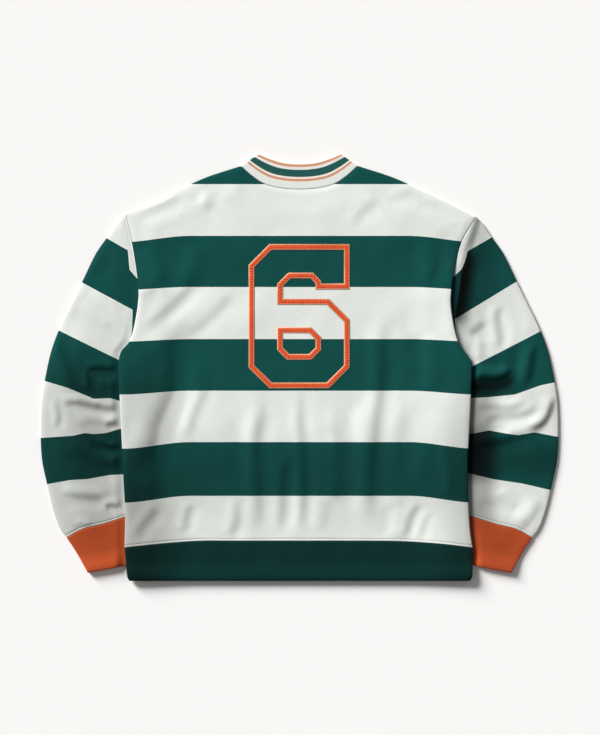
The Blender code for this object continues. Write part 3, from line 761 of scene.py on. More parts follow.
def tube(name, upper_plan, lower_plan, top, bottom, middle, wall, values, material):
    """A flattened tube of cloth, open at its first and last rows, with folded edges at both sides."""
    outer, inner = [], []
    for plan, z, sign in ((upper_plan, top, 1), (lower_plan, bottom, -1)):
        run = runs(plan, 1)
        roll = rounding(np.minimum(run, run[:, -1:] - run), RIM_RADIUS)
        outer.append(heights(plan, middle + (z - middle) * roll))
        inner.append(inner_layer(plan, z, middle, wall, sign))
    outer, inner = round_trip(*outer), round_trip(*inner)
    shift = outer.shape[0] * outer.shape[1]
    index = closed(np.arange(shift).reshape(outer.shape[:2]))
    ends = [np.column_stack([index[0, 1:], index[0, :-1], index[0, :-1] + shift, index[0, 1:] + shift]),
            np.column_stack([index[-1, :-1], index[-1, 1:], index[-1, 1:] + shift, index[-1, :-1] + shift])]
    faces = np.vstack([quads(index), quads(index)[:, ::-1] + shift, *ends])
    points = np.vstack([outer.reshape(-1, 3), inner.reshape(-1, 3)])
    doubled = {}
    for key, (upper, lower) in values.items():
        doubled[key] = np.tile(round_trip(upper, lower).ravel(), 2)
    return add_mesh(name, points, faces, doubled, material)


def band_places(y, edges):
    """Counts the stripe edges above each point, with the share of the way to the next one."""
    place = -np.clip(y - edges[0], 0.0, None) / STRIPE_DEPTH
    for above, below in zip(edges, edges[1:]):
        place = place + np.clip((above - y) / (above - below), 0.0, 1.0)
    return place + np.clip(edges[-1] - y, 0.0, None) / STRIPE_DEPTH


def line_heights(x, line):
    """Height y of a line over each x, carried on straight past its two ends."""
    line = np.array(line, dtype=float)
    first = (line[1, 1] - line[0, 1]) / (line[1, 0] - line[0, 0])
    last = (line[-1, 1] - line[-2, 1]) / (line[-1, 0] - line[-2, 0])
    return (np.interp(x, line[:, 0], line[:, 1]) + np.minimum(x - line[0, 0], 0.0) * first
            + np.maximum(x - line[-1, 0], 0.0) * last)


def torso_bands(points):
    """Stripe places on the torso, whose stripes droop a little towards its sides."""
    droop = smooth((np.abs(points[..., 0]) - DROOP_START_X) / (DROOP_END_X - DROOP_START_X))
    edges = [middle + (side - middle) * droop for middle, side in TORSO_STRIPES]
    return band_places(points[..., 1], edges)


def sleeve_values(points, side):
    """Stripe places on a sleeve, and those in the tuck beside its armhole."""
    x, y = points[..., 0], points[..., 1]
    edges = [line_heights(x, line) for line in (LEFT_STRIPES if side < 0 else RIGHT_STRIPES)]
    fold = np.array(TUCK_FOLD[side])[::-1]
    inside = side * (np.interp(y, fold[:, 1], fold[:, 0]) - x)
    between_ends = smooth((y - fold[0, 1]) / TUCK_END) * smooth((fold[-1, 1] - y) / TUCK_END)
    tuck_edge = line_heights(x, TUCK_STRIPE[side])
    return {"band": np.minimum(1.0 + band_places(y, edges), len(edges) + LAST_STRIPE),
            "tuck": np.where(between_ends > 0.5, inside, NO_TUCK),
            "tuck_band": np.minimum(1.0 + (tuck_edge - y) / STRIPE_DEPTH, 1.0 + LAST_STRIPE)}


def torso_values(points):
    """Stripe places and cloth places on the torso, which has no tuck."""
    return {"band": torso_bands(points), "tuck": np.full(points.shape[:-1], NO_TUCK),
            "tuck_band": np.zeros(points.shape[:-1]),
            "wale": points[..., 0], "course": points[..., 1]}


class Value:
    """An output in a material's node tree; maths with it adds the nodes that work it out."""

    def __init__(self, tree, socket):
        self.tree = tree
        self.socket = socket

    def calc(self, operation, other=0.0):
        return add_node(self.tree, "ShaderNodeMath", {0: self, 1: other}, operation=operation)

    def __add__(self, other):
        return self.calc("ADD", other)

    def __sub__(self, other):
        return self.calc("SUBTRACT", other)

    def __rsub__(self, other):
        return add_node(self.tree, "ShaderNodeMath", {0: other, 1: self}, operation="SUBTRACT")

    def __mul__(self, other):
        return self.calc("MULTIPLY", other)

    def between(self, low, high, out_low=0.0, out_high=1.0):
        """Carries the range from low to high over to another one, and stays inside that."""
        inputs = {"Value": self, "From Min": low, "From Max": high, "To Min": out_low, "To Max": out_high}
        return add_node(self.tree, "ShaderNodeMapRange", inputs)


def add_node(tree, kind, inputs=None, output=0, **settings):
    """The output of a new node; its inputs are plain values or other nodes' outputs."""
    made = tree.nodes.new(kind)
    for key, value in settings.items():
        setattr(made, key, value)
    for key, value in (inputs or {}).items():
        if isinstance(value, Value):
            tree.links.new(value.socket, made.inputs[key])
        else:
            made.inputs[key].default_value = value
    return Value(tree, made.outputs[output])


def attribute(tree, name):
    return add_node(tree, "ShaderNodeAttribute", output="Fac", attribute_name=name)


def mixed(factor, first, second, blend="MIX"):
    """Two colours mixed; the mix node's colour sockets are its sixth and seventh."""
    colours = [value if isinstance(value, Value) else (*value, 1.0) for value in (first, second)]
    tree = next(value.tree for value in (factor, second) if isinstance(value, Value))
    return add_node(tree, "ShaderNodeMix", {0: factor, 6: colours[0], 7: colours[1]}, 2,
                    data_type="RGBA", blend_type=blend)


def cloth_place(tree, across=1.0, along=1.0):
    """The place on the cloth in millimetres, times the two factors."""
    inputs = {"X": attribute(tree, "wale") * across, "Y": attribute(tree, "course") * along}
    return add_node(tree, "ShaderNodeCombineXYZ", inputs)


def noise(place, scale, detail=2.0, roughness=0.5):
    inputs = {"Vector": place, "Scale": scale, "Detail": detail, "Roughness": roughness}
    return add_node(place.tree, "ShaderNodeTexNoise", inputs, "Fac")


def bump(height, depth, strength, before=None):
    """Adds relief of a depth in millimetres, over any relief given before."""
    inputs = {"Height": height, "Distance": depth * MM, "Strength": strength}
    if before is not None:
        inputs["Normal"] = before
    return add_node(height.tree, "ShaderNodeBump", inputs)


def shaded(colour, amount):
    """A colour darkened or lightened evenly by a factor."""
    grey = add_node(amount.tree, "ShaderNodeCombineXYZ", {"X": amount, "Y": amount, "Z": amount})
    return mixed(1.0, colour, grey, "MULTIPLY")


def new_material(name, roughness, sheen):
    material = bpy.data.materials.new(name)
    material.use_nodes = True
    tree = material.node_tree
    shader = tree.nodes["Principled BSDF"]
    shader.inputs["Roughness"].default_value = roughness
    shader.inputs["Specular IOR Level"].default_value = SPECULAR
    shader.inputs["Sheen Weight"].default_value = sheen
    shader.inputs["Sheen Roughness"].default_value = SHEEN_ROUGHNESS
    return material, tree, shader


def finish(shader, colour, normal):
    """Gives a shader its colour and its relief."""
    colour.tree.links.new(colour.socket, shader.inputs["Base Color"])
    normal.tree.links.new(normal.socket, shader.inputs["Normal"])


def knit_height(tree, wale_pitch, course_pitch):
    """Columns of V-shaped stitches."""
    column = (attribute(tree, "wale") * (np.pi / wale_pitch)).calc("SINE").calc("ABSOLUTE")
    row = (attribute(tree, "course") * (2 * np.pi / course_pitch) + column * KNIT_SLANT).calc("SINE")
    return column * (row * KNIT_ROW_SHARE + (1.0 - KNIT_ROW_SHARE))


def finish_cloth(tree, shader, colour, wale_pitch, course_pitch, knit_depth):
    """Streaks along the rows of stitches, faint mottling, and the relief of the knit."""
    streak = noise(cloth_place(tree, *STREAK_STRETCH), *STREAK_NOISE)
    mottle = noise(cloth_place(tree), *MOTTLE_NOISE)
    fibre = noise(cloth_place(tree), *FIBRE_NOISE)
    knit = knit_height(tree, wale_pitch, course_pitch)
    amount = (streak.between(*NOISE_RANGE, -STREAK_SHADE, STREAK_SHADE)
              + mottle.between(*NOISE_RANGE, 1.0 - MOTTLE_SHADE, 1.0 + MOTTLE_SHADE))
    amount = amount * knit.between(0.0, 1.0, *KNIT_SHADE)
    normal = bump(fibre, *FIBRE_RELIEF, bump(streak, *STREAK_RELIEF))
    finish(shader, shaded(colour, amount), bump(knit, knit_depth, KNIT_STRENGTH, normal))


def with_painted_shade(tree, colour, depth):
    """A colour darkened by the painted shade, raised to the given depth."""
    return shaded(colour, (1.0 - attribute(tree, "tone")).calc("POWER", depth))


def jersey_material():
    """Off-white and green stripes, knitted in."""
    material, tree, shader = new_material("striped_jersey", *CLOTH_FINISH)
    in_tuck = attribute(tree, "tuck").calc("GREATER_THAN", 0.0)
    place = attribute(tree, "band")
    place = place + in_tuck * (attribute(tree, "tuck_band") - place)
    ragged = noise(cloth_place(tree, *RAGGED_STRETCH), RAGGED_SCALE)
    ragged = ragged.between(*RAGGED_RANGE, ADDED_BANDS - RAGGED_DEPTH, ADDED_BANDS + RAGGED_DEPTH)
    green = (place + ragged).calc("MODULO", 2.0).calc("GREATER_THAN", 1.0)
    colour = mixed(green, OFF_WHITE, GREEN)
    # The stripes take the painted shade, more deeply on the green
    finish_cloth(tree, shader, with_painted_shade(tree, colour, green * (GREEN_SHADE_DEPTH - 1.0) + 1.0), *JERSEY_KNIT)
    return material


def painted_rib_shade(tree, colour, low, high):
    """Painted shade in the grooves between the ribs and painted highlight on the ridges."""
    return shaded(colour, attribute(tree, "rib").between(0.0, 1.0, low, high))


def rib_material(name, colour, low, high):
    material, tree, shader = new_material(name, *CLOTH_FINISH)
    # The cloth's painted shade, then painted shade in the rib's grooves and painted highlight on its ridges
    finish_cloth(tree, shader, painted_rib_shade(tree, with_painted_shade(tree, colour, 1.0), low, high), *RIB_KNIT)
    return material


def collar_material():
    """Stripes that run round the neck."""
    material, tree, shader = new_material("striped_neck_rib", *CLOTH_FINISH)
    ramp = add_node(tree, "ShaderNodeValToRGB", {0: attribute(tree, "band")})
    stripes = ramp.socket.node.color_ramp
    stripes.interpolation = "CONSTANT"
    while len(stripes.elements) < len(COLLAR_STRIPES):
        stripes.elements.new(1.0)
    for stripe, (start, colour) in zip(stripes.elements, COLLAR_STRIPES):
        stripe.position = start
        stripe.color = (*colour, 1.0)
    # Painted shade in the grooves and painted highlight on the ridges of the rib
    finish_cloth(tree, shader, painted_rib_shade(tree, ramp, *COLLAR_SHADES), *COLLAR_KNIT)
    return material


def felt_material():
    """Brushed felt with a hatched surface, paler along both sewn edges."""
    material, tree, shader = new_material("orange_felt", *FELT_FINISH)
    across, along = attribute(tree, "across"), attribute(tree, "along")
    place = add_node(tree, "ShaderNodeCombineXYZ", {"X": across * STRIP_WIDTH, "Y": along})
    fluff = noise(place, *FLUFF_NOISE)
    patch = noise(place, *PATCH_NOISE)
    hatch = (along * (2 * np.pi / HATCH_PITCH) + across * HATCH_SLANT).calc("SINE") * 0.5 + 0.5
    edge = (across - 0.5).calc("ABSOLUTE") * 2.0
    colour = mixed(edge.between(*PALE_EDGE), FELT_ORANGE, EDGE_ORANGE)
    hatched = edge.between(*HATCH_FADE) * hatch.between(*HATCH_RANGE, *HATCH_SHADE) + 1.0
    amount = fluff.between(*NOISE_RANGE, *FLUFF_SHADE) * hatched
    amount = amount * patch.between(*NOISE_RANGE, *PATCH_SHADE)
    finish(shader, shaded(colour, amount), bump(fluff, *FLUFF_RELIEF, bump(hatch, *HATCH_RELIEF)))
    return material


def thread_material(name, colour):
    """Twisted sewing thread."""
    material, tree, shader = new_material(name, *THREAD_FINISH)
    twist = (attribute(tree, "along") * (2 * np.pi / THREAD_TWIST)).calc("SINE")
    finish(shader, shaded(colour, twist.between(-1.0, 1.0, *THREAD_SHADE)), bump(twist, *THREAD_RELIEF))
    return material


def floor_material():
    material, tree, shader = new_material("pale_floor", *FLOOR_FINISH)
    shader.inputs["Specular IOR Level"].default_value = 0.0
    place = add_node(tree, "ShaderNodeTexCoord", output="Object")
    amount = noise(place, *FLOOR_NOISE).between(*NOISE_RANGE, *FLOOR_SHADE)
    tree.links.new(shaded(FLOOR_WHITE, amount).socket, shader.inputs["Base Color"])
    return material


def along_values(grid):
    """Places across and along a sleeve, measured from its middle and from its first row."""
    across, along = runs(grid, 1), runs(grid, 0)
    return {"wale": across - 0.5 * across[:, -1:], "course": along}


def painted_edge_shade(points, roll):
    """Painted shade where the cloth turns over an edge, fading out from the left to the right."""
    return EDGE_PAINTED_SHADE * (1.0 - roll) * smooth(0.5 - points[..., 0] / EDGE_SHADE_SPREAD)


def painted_cloth_shade(points, painted_shades, roll):
    """Painted shade on the cloth, from 0 to 1; roll is 0 where the cloth turns over an edge."""
    kept = 1.0 - painted_edge_shade(points, roll)
    for tone in painted_shades:
        kept *= 1.0 - np.clip(crease_relief(points, [tone]), 0.0, 1.0)
    return 1.0 - kept


def torso_rim():
    """The outline of the torso with its hem, where the layers lie flattest."""
    stretches = [HEM_LEFT_END[::-1], LEFT_SIDE, LEFT_ARMHOLE, LEFT_SHOULDER, NECK_SEAM, RIGHT_SHOULDER,
                 RIGHT_ARMHOLE[::-1], RIGHT_SIDE[::-1], HEM_RIGHT_END, HEM_EDGE[::-1]]
    return joined(*[curve(points, RIM_CELLS) for points in stretches])


def torso_grid(cells, top_line):
    """Plan points of a panel between the hem, the sides with their armholes, and its top line."""
    columns, rows = cells
    hem_line = joined(curve(HEM_SEAM_LEFT), curve(HEM_SEAM_MIDDLE), curve(HEM_SEAM_RIGHT))
    left_line = joined(curve(LEFT_SIDE), curve(LEFT_ARMHOLE))
    right_line = joined(curve(RIGHT_SIDE), curve(RIGHT_ARMHOLE))
    return edge_patch(*[spaced(line, columns, ROLLED, ROLLED) for line in (hem_line, top_line)],
                      *[spaced(line, rows, STITCHED, STITCHED) for line in (left_line, right_line)])


def torso_edges(grid):
    """How full the outer face is beside the side folds, and how far it drops at the sewn edges."""
    left, right, low, high = gaps(grid)
    sewn_side = smooth((grid[..., 1] - LIFT_FULL_Y + SEWN_SIDE_BELOW) / SEWN_SIDE_FADE)
    by_neck = (np.abs(grid[-1:, :, 0]) < abs(NECK_SEAM[0][0])).astype(float)
    side = np.minimum(left, right)
    shoulder = high + FAR_OFF * by_neck
    roll = np.minimum(np.maximum(rounding(side, RIM_RADIUS), sewn_side), rounding(shoulder, RIM_RADIUS))
    sewn_share = np.where(left < right, LEFT_ARMHOLE_DROP, 1.0) * sewn_side
    drop = seam_drop(low) + NECK_DROP * seam_drop(high) * by_neck + seam_drop(side) * sewn_share
    return LEAST_FULLNESS + (1.0 - LEAST_FULLNESS) * roll, drop + stitch_groove(low)


def front_neckline():
    """The front's neck seam, from the left shoulder to the right one."""
    half = curve(FRONT_NECK)
    return joined(half, half[::-1] * (-1, 1))[::-1]


def make_back():
    top_line = joined(curve(LEFT_SHOULDER), curve(NECK_SEAM), curve(RIGHT_SHOULDER))
    grid = torso_grid(TORSO_CELLS, top_line)
    rim_gap = distance_to(grid, torso_rim())[0]
    relief = upper_relief(grid, rim_gap, TORSO_SLOPES, TORSO_CREASES)
    bottom = torso_lift(grid) + JERSEY_WALL + RIM_GAP + relief
    roll, drop = torso_edges(grid)
    top = np.maximum(bottom + JERSEY_WALL * roll - drop, bottom + LEAST_WALL)
    # Painted shade from the torso's bands and its rolled edges
    values = {**torso_values(grid), "tone": painted_cloth_shade(grid, TORSO_PAINTED_SHADE, roll)}
    return shell("back_panel_cloth", grid, top, bottom, values, jersey), grid


def make_front():
    neckline = front_neckline()
    left = LEFT_SHOULDER[:-1] + [tuple(neckline[0])]
    right = [tuple(neckline[-1])] + RIGHT_SHOULDER[1:]
    grid = torso_grid(FRONT_CELLS, joined(curve(left), neckline, curve(right)))
    rim_gap = distance_to(grid, torso_rim())[0]
    under = under_relief(grid, rim_gap, TORSO_SLOPES, TORSO_CREASES)
    top = torso_lift(grid) + JERSEY_WALL + under
    roll, drop = torso_edges(grid)
    bottom = np.minimum(np.maximum(top - JERSEY_WALL * roll + drop, 0.0), top - LEAST_WALL)
    # Painted shade at the rolled edges only
    values = {**torso_values(grid), "tone": painted_cloth_shade(grid, [], roll)}
    return shell("front_panel_cloth", grid, top, bottom, values, jersey), grid


def sleeve_lines(side):
    """The four edges of a sleeve: its armhole, its cuff seam, its outer and its inner edge."""
    armhole = curve(LEFT_ARMHOLE if side < 0 else RIGHT_ARMHOLE, ARMHOLE_POINTS)
    sewn = offset_curve(armhole[::-1], -side * ARMHOLE_GAP)[:ARMHOLE_POINTS + 1 - TUCKED_POINTS]
    sewn = curve(sewn)
    start = joined(sewn, curve([tuple(sewn[-1])] + TUCKED_ARMHOLE[side], TUCKED_CELLS))
    outer = curve([tuple(start[0])] + turned(SLEEVE_OUTER, side), SLEEVE_EDGE_CELLS)
    inner_points = [tuple(start[-1])] + SLEEVE_INNER_START[side] + turned(SLEEVE_INNER_END, side)
    return start, curve(turned(CUFF_SEAM, side)), outer, curve(inner_points, SLEEVE_EDGE_CELLS)


def sleeve_rim(side, start, outer, inner):
    """The outline of a sleeve with its cuff, where its layers lie flattest."""
    cuff = [curve(turned(points, side), CUFF_RIM_CELLS)
            for points in (CUFF_INNER, CUFF_EDGE[::-1], CUFF_OUTER[::-1])]
    along = np.linspace(0, 1, SLEEVE_RIM_POINTS)
    return joined(resample(start, np.linspace(0, 1, ARMHOLE_RIM_POINTS)), resample(inner, along), *cuff,
                  resample(outer, along)[::-1])


def make_sleeve(side, lines, rim):
    """A sleeve; side is -1 on the left of the view and 1 on the right."""
    start, end, outer, inner = lines
    slopes, creases, painted_shades = SLEEVE_FOLDS_AND_SHADE[side]
    rows, columns = SLEEVE_CELLS
    grid = edge_patch(*[spaced(line, columns, ROLLED, ROLLED) for line in (start, end)],
                      *[spaced(line, rows, SEWN, STITCHED) for line in (outer, inner)])
    rim_gap = distance_to(grid, rim)[0]
    relief = upper_relief(grid, rim_gap, slopes, creases) * sleeve_press(grid, side)
    left, right, low, high = gaps(grid)
    drop = SLEEVE_ARMHOLE_DROP[side] * seam_drop(low) + seam_drop(high) + stitch_groove(high)
    top = 2 * JERSEY_WALL + RIM_GAP + relief - drop
    under = under_relief(grid, rim_gap, slopes, creases)
    middle = np.full(top.shape, JERSEY_WALL + 0.5 * RIM_GAP)
    bands = sleeve_values(grid, side)
    values = {key: (value, value) for key, value in {**bands, **along_values(grid)}.items()}
    values["tuck"] = (bands["tuck"], np.full(top.shape, NO_TUCK))
    roll = rounding(np.minimum(left, right), RIM_RADIUS)
    # Painted shade on the upper layer, weaker low in the tuck; the lower layer takes only the painted shade
    # at the edges
    shade_share = smooth(np.maximum(-bands["tuck"] / TUCK_SHADE_START,
                                   (grid[..., 1] - TUCK_SHADE_Y) / TUCK_SHADE_FADE))
    shade_share = TUCK_SHADE_LEAST + (1.0 - TUCK_SHADE_LEAST) * shade_share
    values["tone"] = (painted_cloth_shade(grid, painted_shades, roll) * shade_share, painted_edge_shade(grid, roll))
    name = f"sleeve_{SIDE_NAMES[side]}_cloth"
    return tube(name, grid, grid, top, under, middle, JERSEY_WALL, values, jersey), grid


def edge_fullness(grid):
    """Extra height of a rib towards its folded edge."""
    _, _, low, high = gaps(grid)
    return EDGE_FULLNESS * smooth(1.0 - high / EDGE_FULL_WIDTH) * smooth(low / FULLNESS_START)


def rib_wave(shape, steps_each):
    """Ridges across a grid's columns, from 0 in the grooves to 1 on the ridges."""
    return np.broadcast_to(0.5 - 0.5 * np.cos(2 * np.pi * np.arange(shape[1]) / steps_each), shape)


def rib_tube(name, upper_plan, lower_plan, top, bottom, tone, upper_ribs, lower_ribs, rib_steps, material):
    """A flattened tube of rib cloth: ribs run from its first row to its last, which is a folded edge."""
    middle = 0.5 * (top + bottom)
    # Painted shade on the upper layer only
    values = {"tone": (tone, np.zeros(tone.shape))}
    layers = []
    for plan, ribs, sign, z in ((upper_plan, upper_ribs, 1, top), (lower_plan, lower_ribs, -1, bottom)):
        wave = rib_wave(z.shape, rib_steps * upper_ribs / ribs)
        _, _, low, high = gaps(plan)
        drop = seam_drop(low) + EDGE_DROP * (1.0 - rounding(high, RIB_EDGE_RADIUS))
        layers.append(z - sign * (drop + RIB_DEPTH * (1.0 - wave)))
        for key, value in {"rib": wave, "band": low / (low + high), **along_values(plan)}.items():
            values.setdefault(key, []).append(value)
    return tube(name, upper_plan, lower_plan, *layers, middle, RIB_WALL, values, material)


def make_cuff(side, seam, rim):
    """The rib tube at a sleeve's end, just past the cuff seam."""
    shift = np.array([0.0, -SEAM_GAP])
    even = np.linspace(0.0, 1.0, CUFF_RIBS * RIB_STEPS + 1)
    sides = [curve(turned(points, side), RIB_END_CELLS) + shift for points in (CUFF_OUTER, CUFF_INNER)]
    edge = curve(turned(CUFF_EDGE, side))
    grid = edge_patch(resample(seam, even) + shift, resample(edge, even) + shift,
                      *[spaced(line, CUFF_CELLS, SEWN, ROLLED) for line in sides])
    relief = upper_relief(grid, distance_to(grid, rim)[0], [], []) + edge_fullness(grid)
    relief *= sleeve_press(grid, side)
    # A part of the sleeve's painted shade
    tone = CUFF_PAINTED_SHADE * painted_cloth_shade(grid, SLEEVE_FOLDS_AND_SHADE[side][2], np.ones(relief.shape))
    name = f"cuff_{SIDE_NAMES[side]}_rib"
    return rib_tube(name, grid, grid, 2 * RIB_WALL + RIM_GAP + relief, np.zeros(relief.shape), tone,
                    CUFF_RIBS, CUFF_RIBS, RIB_STEPS, cuff_rib), grid


def make_arm(side):
    """One sleeve and its cuff, each with its plan points."""
    lines = sleeve_lines(side)
    start, end, outer, inner = lines
    rim = sleeve_rim(side, start, outer, inner)
    return make_sleeve(side, lines, rim), make_cuff(side, end, rim)


def make_hem(torso):
    """The rib tube below the torso's plan points."""
    even = np.linspace(0.0, 1.0, HEM_RIBS * RIB_STEPS + 1)
    seam = resample(torso[0] + (0.0, -SEAM_GAP), even)
    sides = []
    for points, corner in ((HEM_LEFT_END, seam[0]), (HEM_RIGHT_END, seam[-1])):
        line = curve([tuple(corner)] + points[1:], RIB_END_CELLS)
        sides.append(spaced(line, HEM_CELLS, SEWN, ROLLED))
    grid = edge_patch(seam, resample(curve(HEM_EDGE), even), *sides)
    rim_gap = distance_to(grid, torso_rim())[0]
    relief = upper_relief(grid, rim_gap, TORSO_SLOPES, TORSO_CREASES) + edge_fullness(grid)
    lift = torso_lift(grid)
    top = lift + 2 * RIB_WALL + RIM_GAP + relief
    # The torso's painted shade
    tone = painted_cloth_shade(grid, TORSO_PAINTED_SHADE, np.ones(lift.shape))
    hem = rib_tube("hem_rib_cloth", grid, grid, top, lift, tone, HEM_RIBS, HEM_RIBS, RIB_STEPS, hem_rib)
    return hem, grid


def make_neck():
    """The rib ring: its upper half shows above the back, its lower half lies under the back."""
    even = np.linspace(0.0, 1.0, NECK_RIBS * NECK_RIB_STEPS + 1)
    back_seam = offset_curve(curve(NECK_SEAM, NECK_LINE_CELLS), -SEAM_GAP)
    front_seam = offset_curve(front_neckline(), -ARMHOLE_GAP)
    front_seam[0], front_seam[-1] = back_seam[0], back_seam[-1]
    back_edge = curve(NECK_EDGE, NECK_LINE_CELLS)
    half_edge = curve(FRONT_NECK_EDGE)
    front_edge = joined(half_edge * (-1, 1), half_edge[::-1])
    front_edge[0], front_edge[-1] = back_edge[0], back_edge[-1]
    middle = NECK_LINE_CELLS // 2
    depth = line_length(np.array([back_seam[middle], back_edge[middle]]))
    share = steps(depth, NECK_CELLS, SEWN, ROLLED)
    plans = []
    for seam, edge in ((back_seam, back_edge), (front_seam, front_edge)):
        seam, edge = resample(seam, even), resample(edge, even)
        plans.append((1 - share)[:, None, None] * seam[None] + share[:, None, None] * edge[None])
    top = np.full(plans[0].shape[:2], 2 * RIB_WALL + RIM_GAP)
    flat = np.zeros(top.shape)
    rib = rib_tube("neck_rib_cloth", *plans, top, flat, flat, NECK_RIBS, FRONT_NECK_RIBS,
                   NECK_RIB_STEPS, collar)
    return rib, plans


def chamfered(points, cuts):
    """Cuts each corner of an outline by its own amount; 0 leaves it square."""
    out = []
    points = np.array(points, dtype=float)
    for index, cut in enumerate(cuts):
        neighbours = (points[index - 1], points[(index + 1) % len(points)])
        for neighbour in neighbours if cut else neighbours[:1]:
            way = neighbour - points[index]
            out.append(points[index] + cut * way / np.linalg.norm(way))
    return np.array(out)


def numeral_outlines():
    """The outer outline and the inner counter of the six, both anticlockwise."""
    half_w, half_h = NUMBER_WIDTH / 2, NUMBER_HEIGHT / 2
    left, right, bottom, top = -half_w, half_w, -half_h, half_h
    bowl_top = bottom + NUMBER_BOWL_HEIGHT
    tip_bottom = top - NUMBER_STROKE - NUMBER_TIP
    stem = left + NUMBER_STROKE
    corner, small = NUMBER_CORNER, NUMBER_COUNTER_CORNER
    outer = chamfered(
        [(left, bottom), (right, bottom), (right, bowl_top), (stem, bowl_top),
         (stem, top - NUMBER_STROKE), (right - NUMBER_STROKE, top - NUMBER_STROKE),
         (right - NUMBER_STROKE, tip_bottom), (right, tip_bottom), (right, top), (left, top)],
        [corner, corner, corner, 0, NUMBER_NECK_CORNER, NUMBER_HOOK_CORNER, 0, 0, 0, corner])
    inset = NUMBER_STROKE - STRIP_WIDTH
    counter = chamfered([(left + inset, bottom + inset), (right - inset, bottom + inset),
                         (right - inset, bowl_top - inset), (left + inset, bowl_top - inset)],
                        [small, small, small, 0])
    return [outline + NUMBER_CENTRE for outline in (outer, counter)]


def inset_outline(points, amount):
    """Moves each side of an anticlockwise outline inwards by the same amount."""
    before = points - np.roll(points, 1, axis=0)
    after = np.roll(points, -1, axis=0) - points
    normals = []
    for way in (before, after):
        way = way / np.linalg.norm(way, axis=1)[:, None]
        normals.append(np.column_stack([-way[:, 1], way[:, 0]]))
    one, two = normals
    return points + amount * (one + two) / (1.0 + (one * two).sum(axis=1))[:, None]


def surface_heights(surface, points):
    """Height of a piece's upper face over each plan point, in millimetres."""
    found = []
    for x, y in points.reshape(-1, 2):
        hit = surface.ray_cast(Vector((x * MM, y * MM, RAY_START * MM)), Vector((0, 0, -1)))[0]
        found.append(hit.z / MM if hit is not None else 0.0)
    return np.array(found).reshape(points.shape[:-1])


def threads(name, starts, ends, surface, radius, rise, material):
    """Short stitches that arch over the cloth between their starts and ends."""
    turns = np.arange(THREAD_SIDES) * 2 * np.pi / THREAD_SIDES + np.pi / THREAD_SIDES
    way = ends - starts
    beside = np.column_stack([-way[:, 1], way[:, 0]]) / np.linalg.norm(way, axis=1)[:, None]
    rings = []
    for place, size, height in THREAD_SHAPE:
        plan = starts + place * way
        z = surface_heights(surface, plan) + rise * height + radius * THREAD_SEAT
        out = np.cos(turns)[None, :, None] * beside[:, None] * radius * size + plan[:, None]
        up = np.sin(turns)[None] * radius * size + z[:, None]
        rings.append(np.concatenate([out, up[..., None]], axis=-1))
    points = np.stack(rings, axis=1)
    count, length = points.shape[:2]
    index = np.arange(count * length * THREAD_SIDES).reshape(count, length, THREAD_SIDES)
    faces = [quads(closed(thread)) for thread in index] + [index[:, 0, ::-1], index[:, -1]]
    along = np.tile(np.repeat(np.arange(length), THREAD_SIDES) * THREAD_RING_STEP, count)
    return add_mesh(name, points.reshape(-1, 3), np.vstack(faces), {"along": along}, material)


def seam_threads(name, line, surface, material):
    """A row of straight stitches along a line."""
    length, thickness, spacing, rise = SEAM_THREAD
    places = np.arange(spacing, line_length(line) - spacing, spacing) / line_length(line)
    share = length / line_length(line)
    return threads(name, resample(line, places), resample(line, places + share), surface,
                   thickness / 2, rise, material)


class Stack:
    """Two surfaces seen from above as one: the higher hit of the two."""

    def __init__(self, upper, lower):
        self.layers = (upper, lower)

    def ray_cast(self, start, way):
        hits = [layer.ray_cast(start, way) for layer in self.layers]
        hits = [hit for hit in hits if hit[0] is not None]
        return max(hits, key=lambda hit: hit[0].z) if hits else (None, None, None, None)


def tree_of(piece):
    return BVHTree.FromObject(piece, bpy.context.evaluated_depsgraph_get())


def edge_pairs(line, other):
    """Each side of an outline, with the side beside it and its length."""
    for a, b, c, d in zip(line, np.roll(line, -1, axis=0), other, np.roll(other, -1, axis=0)):
        yield a, b, c, d, np.linalg.norm(b - a)


def make_strip(name, outline, inside, surface):
    """A felt strip between two outlines that follows the surface below it."""
    outer_walk, inner_walk, along = [], [], []
    done = 0.0
    for a, b, c, d, length in edge_pairs(outline, inside):
        cells = max(2, round(length / STRIP_STEP))
        t = (np.arange(cells) / cells)[:, None]
        outer_walk.append(a + (b - a) * t)
        inner_walk.append(c + (d - c) * t)
        along.append(done + t[:, 0] * length)
        done += length
    outer_walk, inner_walk = np.vstack(outer_walk), np.vstack(inner_walk)
    across, raised = np.array(STRIP_PROFILE).T
    plan = (1 - across)[:, None, None] * outer_walk[None] + across[:, None, None] * inner_walk[None]
    z = surface_heights(surface, plan)
    rows, around = plan.shape[:2]
    base = heights(plan[[0, -1]], z[[0, -1]] - STRIP_SUNK)
    points = np.concatenate([heights(plan, z + raised[:, None]), base[1:], base[:1]]).reshape(-1, 3)
    index = closed(np.arange((rows + 2) * around).reshape(rows + 2, around))
    values = {"across": np.repeat(np.concatenate([across, [1.0, 0.0]]), around),
              "along": np.tile(np.concatenate(along), rows + 2)}
    return add_mesh(name, points, quads(np.vstack([index, index[:1]])), values, felt)


def edge_threads(name, outline, inside, surface):
    """Stitches across both edges of a felt strip."""
    length, thickness, spacing, rise = EDGE_THREAD
    starts, ends = [], []
    for line, toward in ((outline, inside), (inside, outline)):
        for a, b, c, d, side in edge_pairs(line, toward):
            cells = max(1, round(side / spacing))
            t = ((np.arange(cells) + 0.5) / cells)[:, None]
            spot = a + (b - a) * t
            inward = (c + (d - c) * t) - spot
            inward /= np.linalg.norm(inward, axis=1)[:, None]
            lean = (b - a) / side * THREAD_LEAN
            starts.append(spot - inward * THREAD_OUTSIDE * length)
            ends.append(spot + inward * (1.0 - THREAD_OUTSIDE) * length + lean)
    return threads(name, np.vstack(starts), np.vstack(ends), surface, thickness / 2, rise, edge_thread)


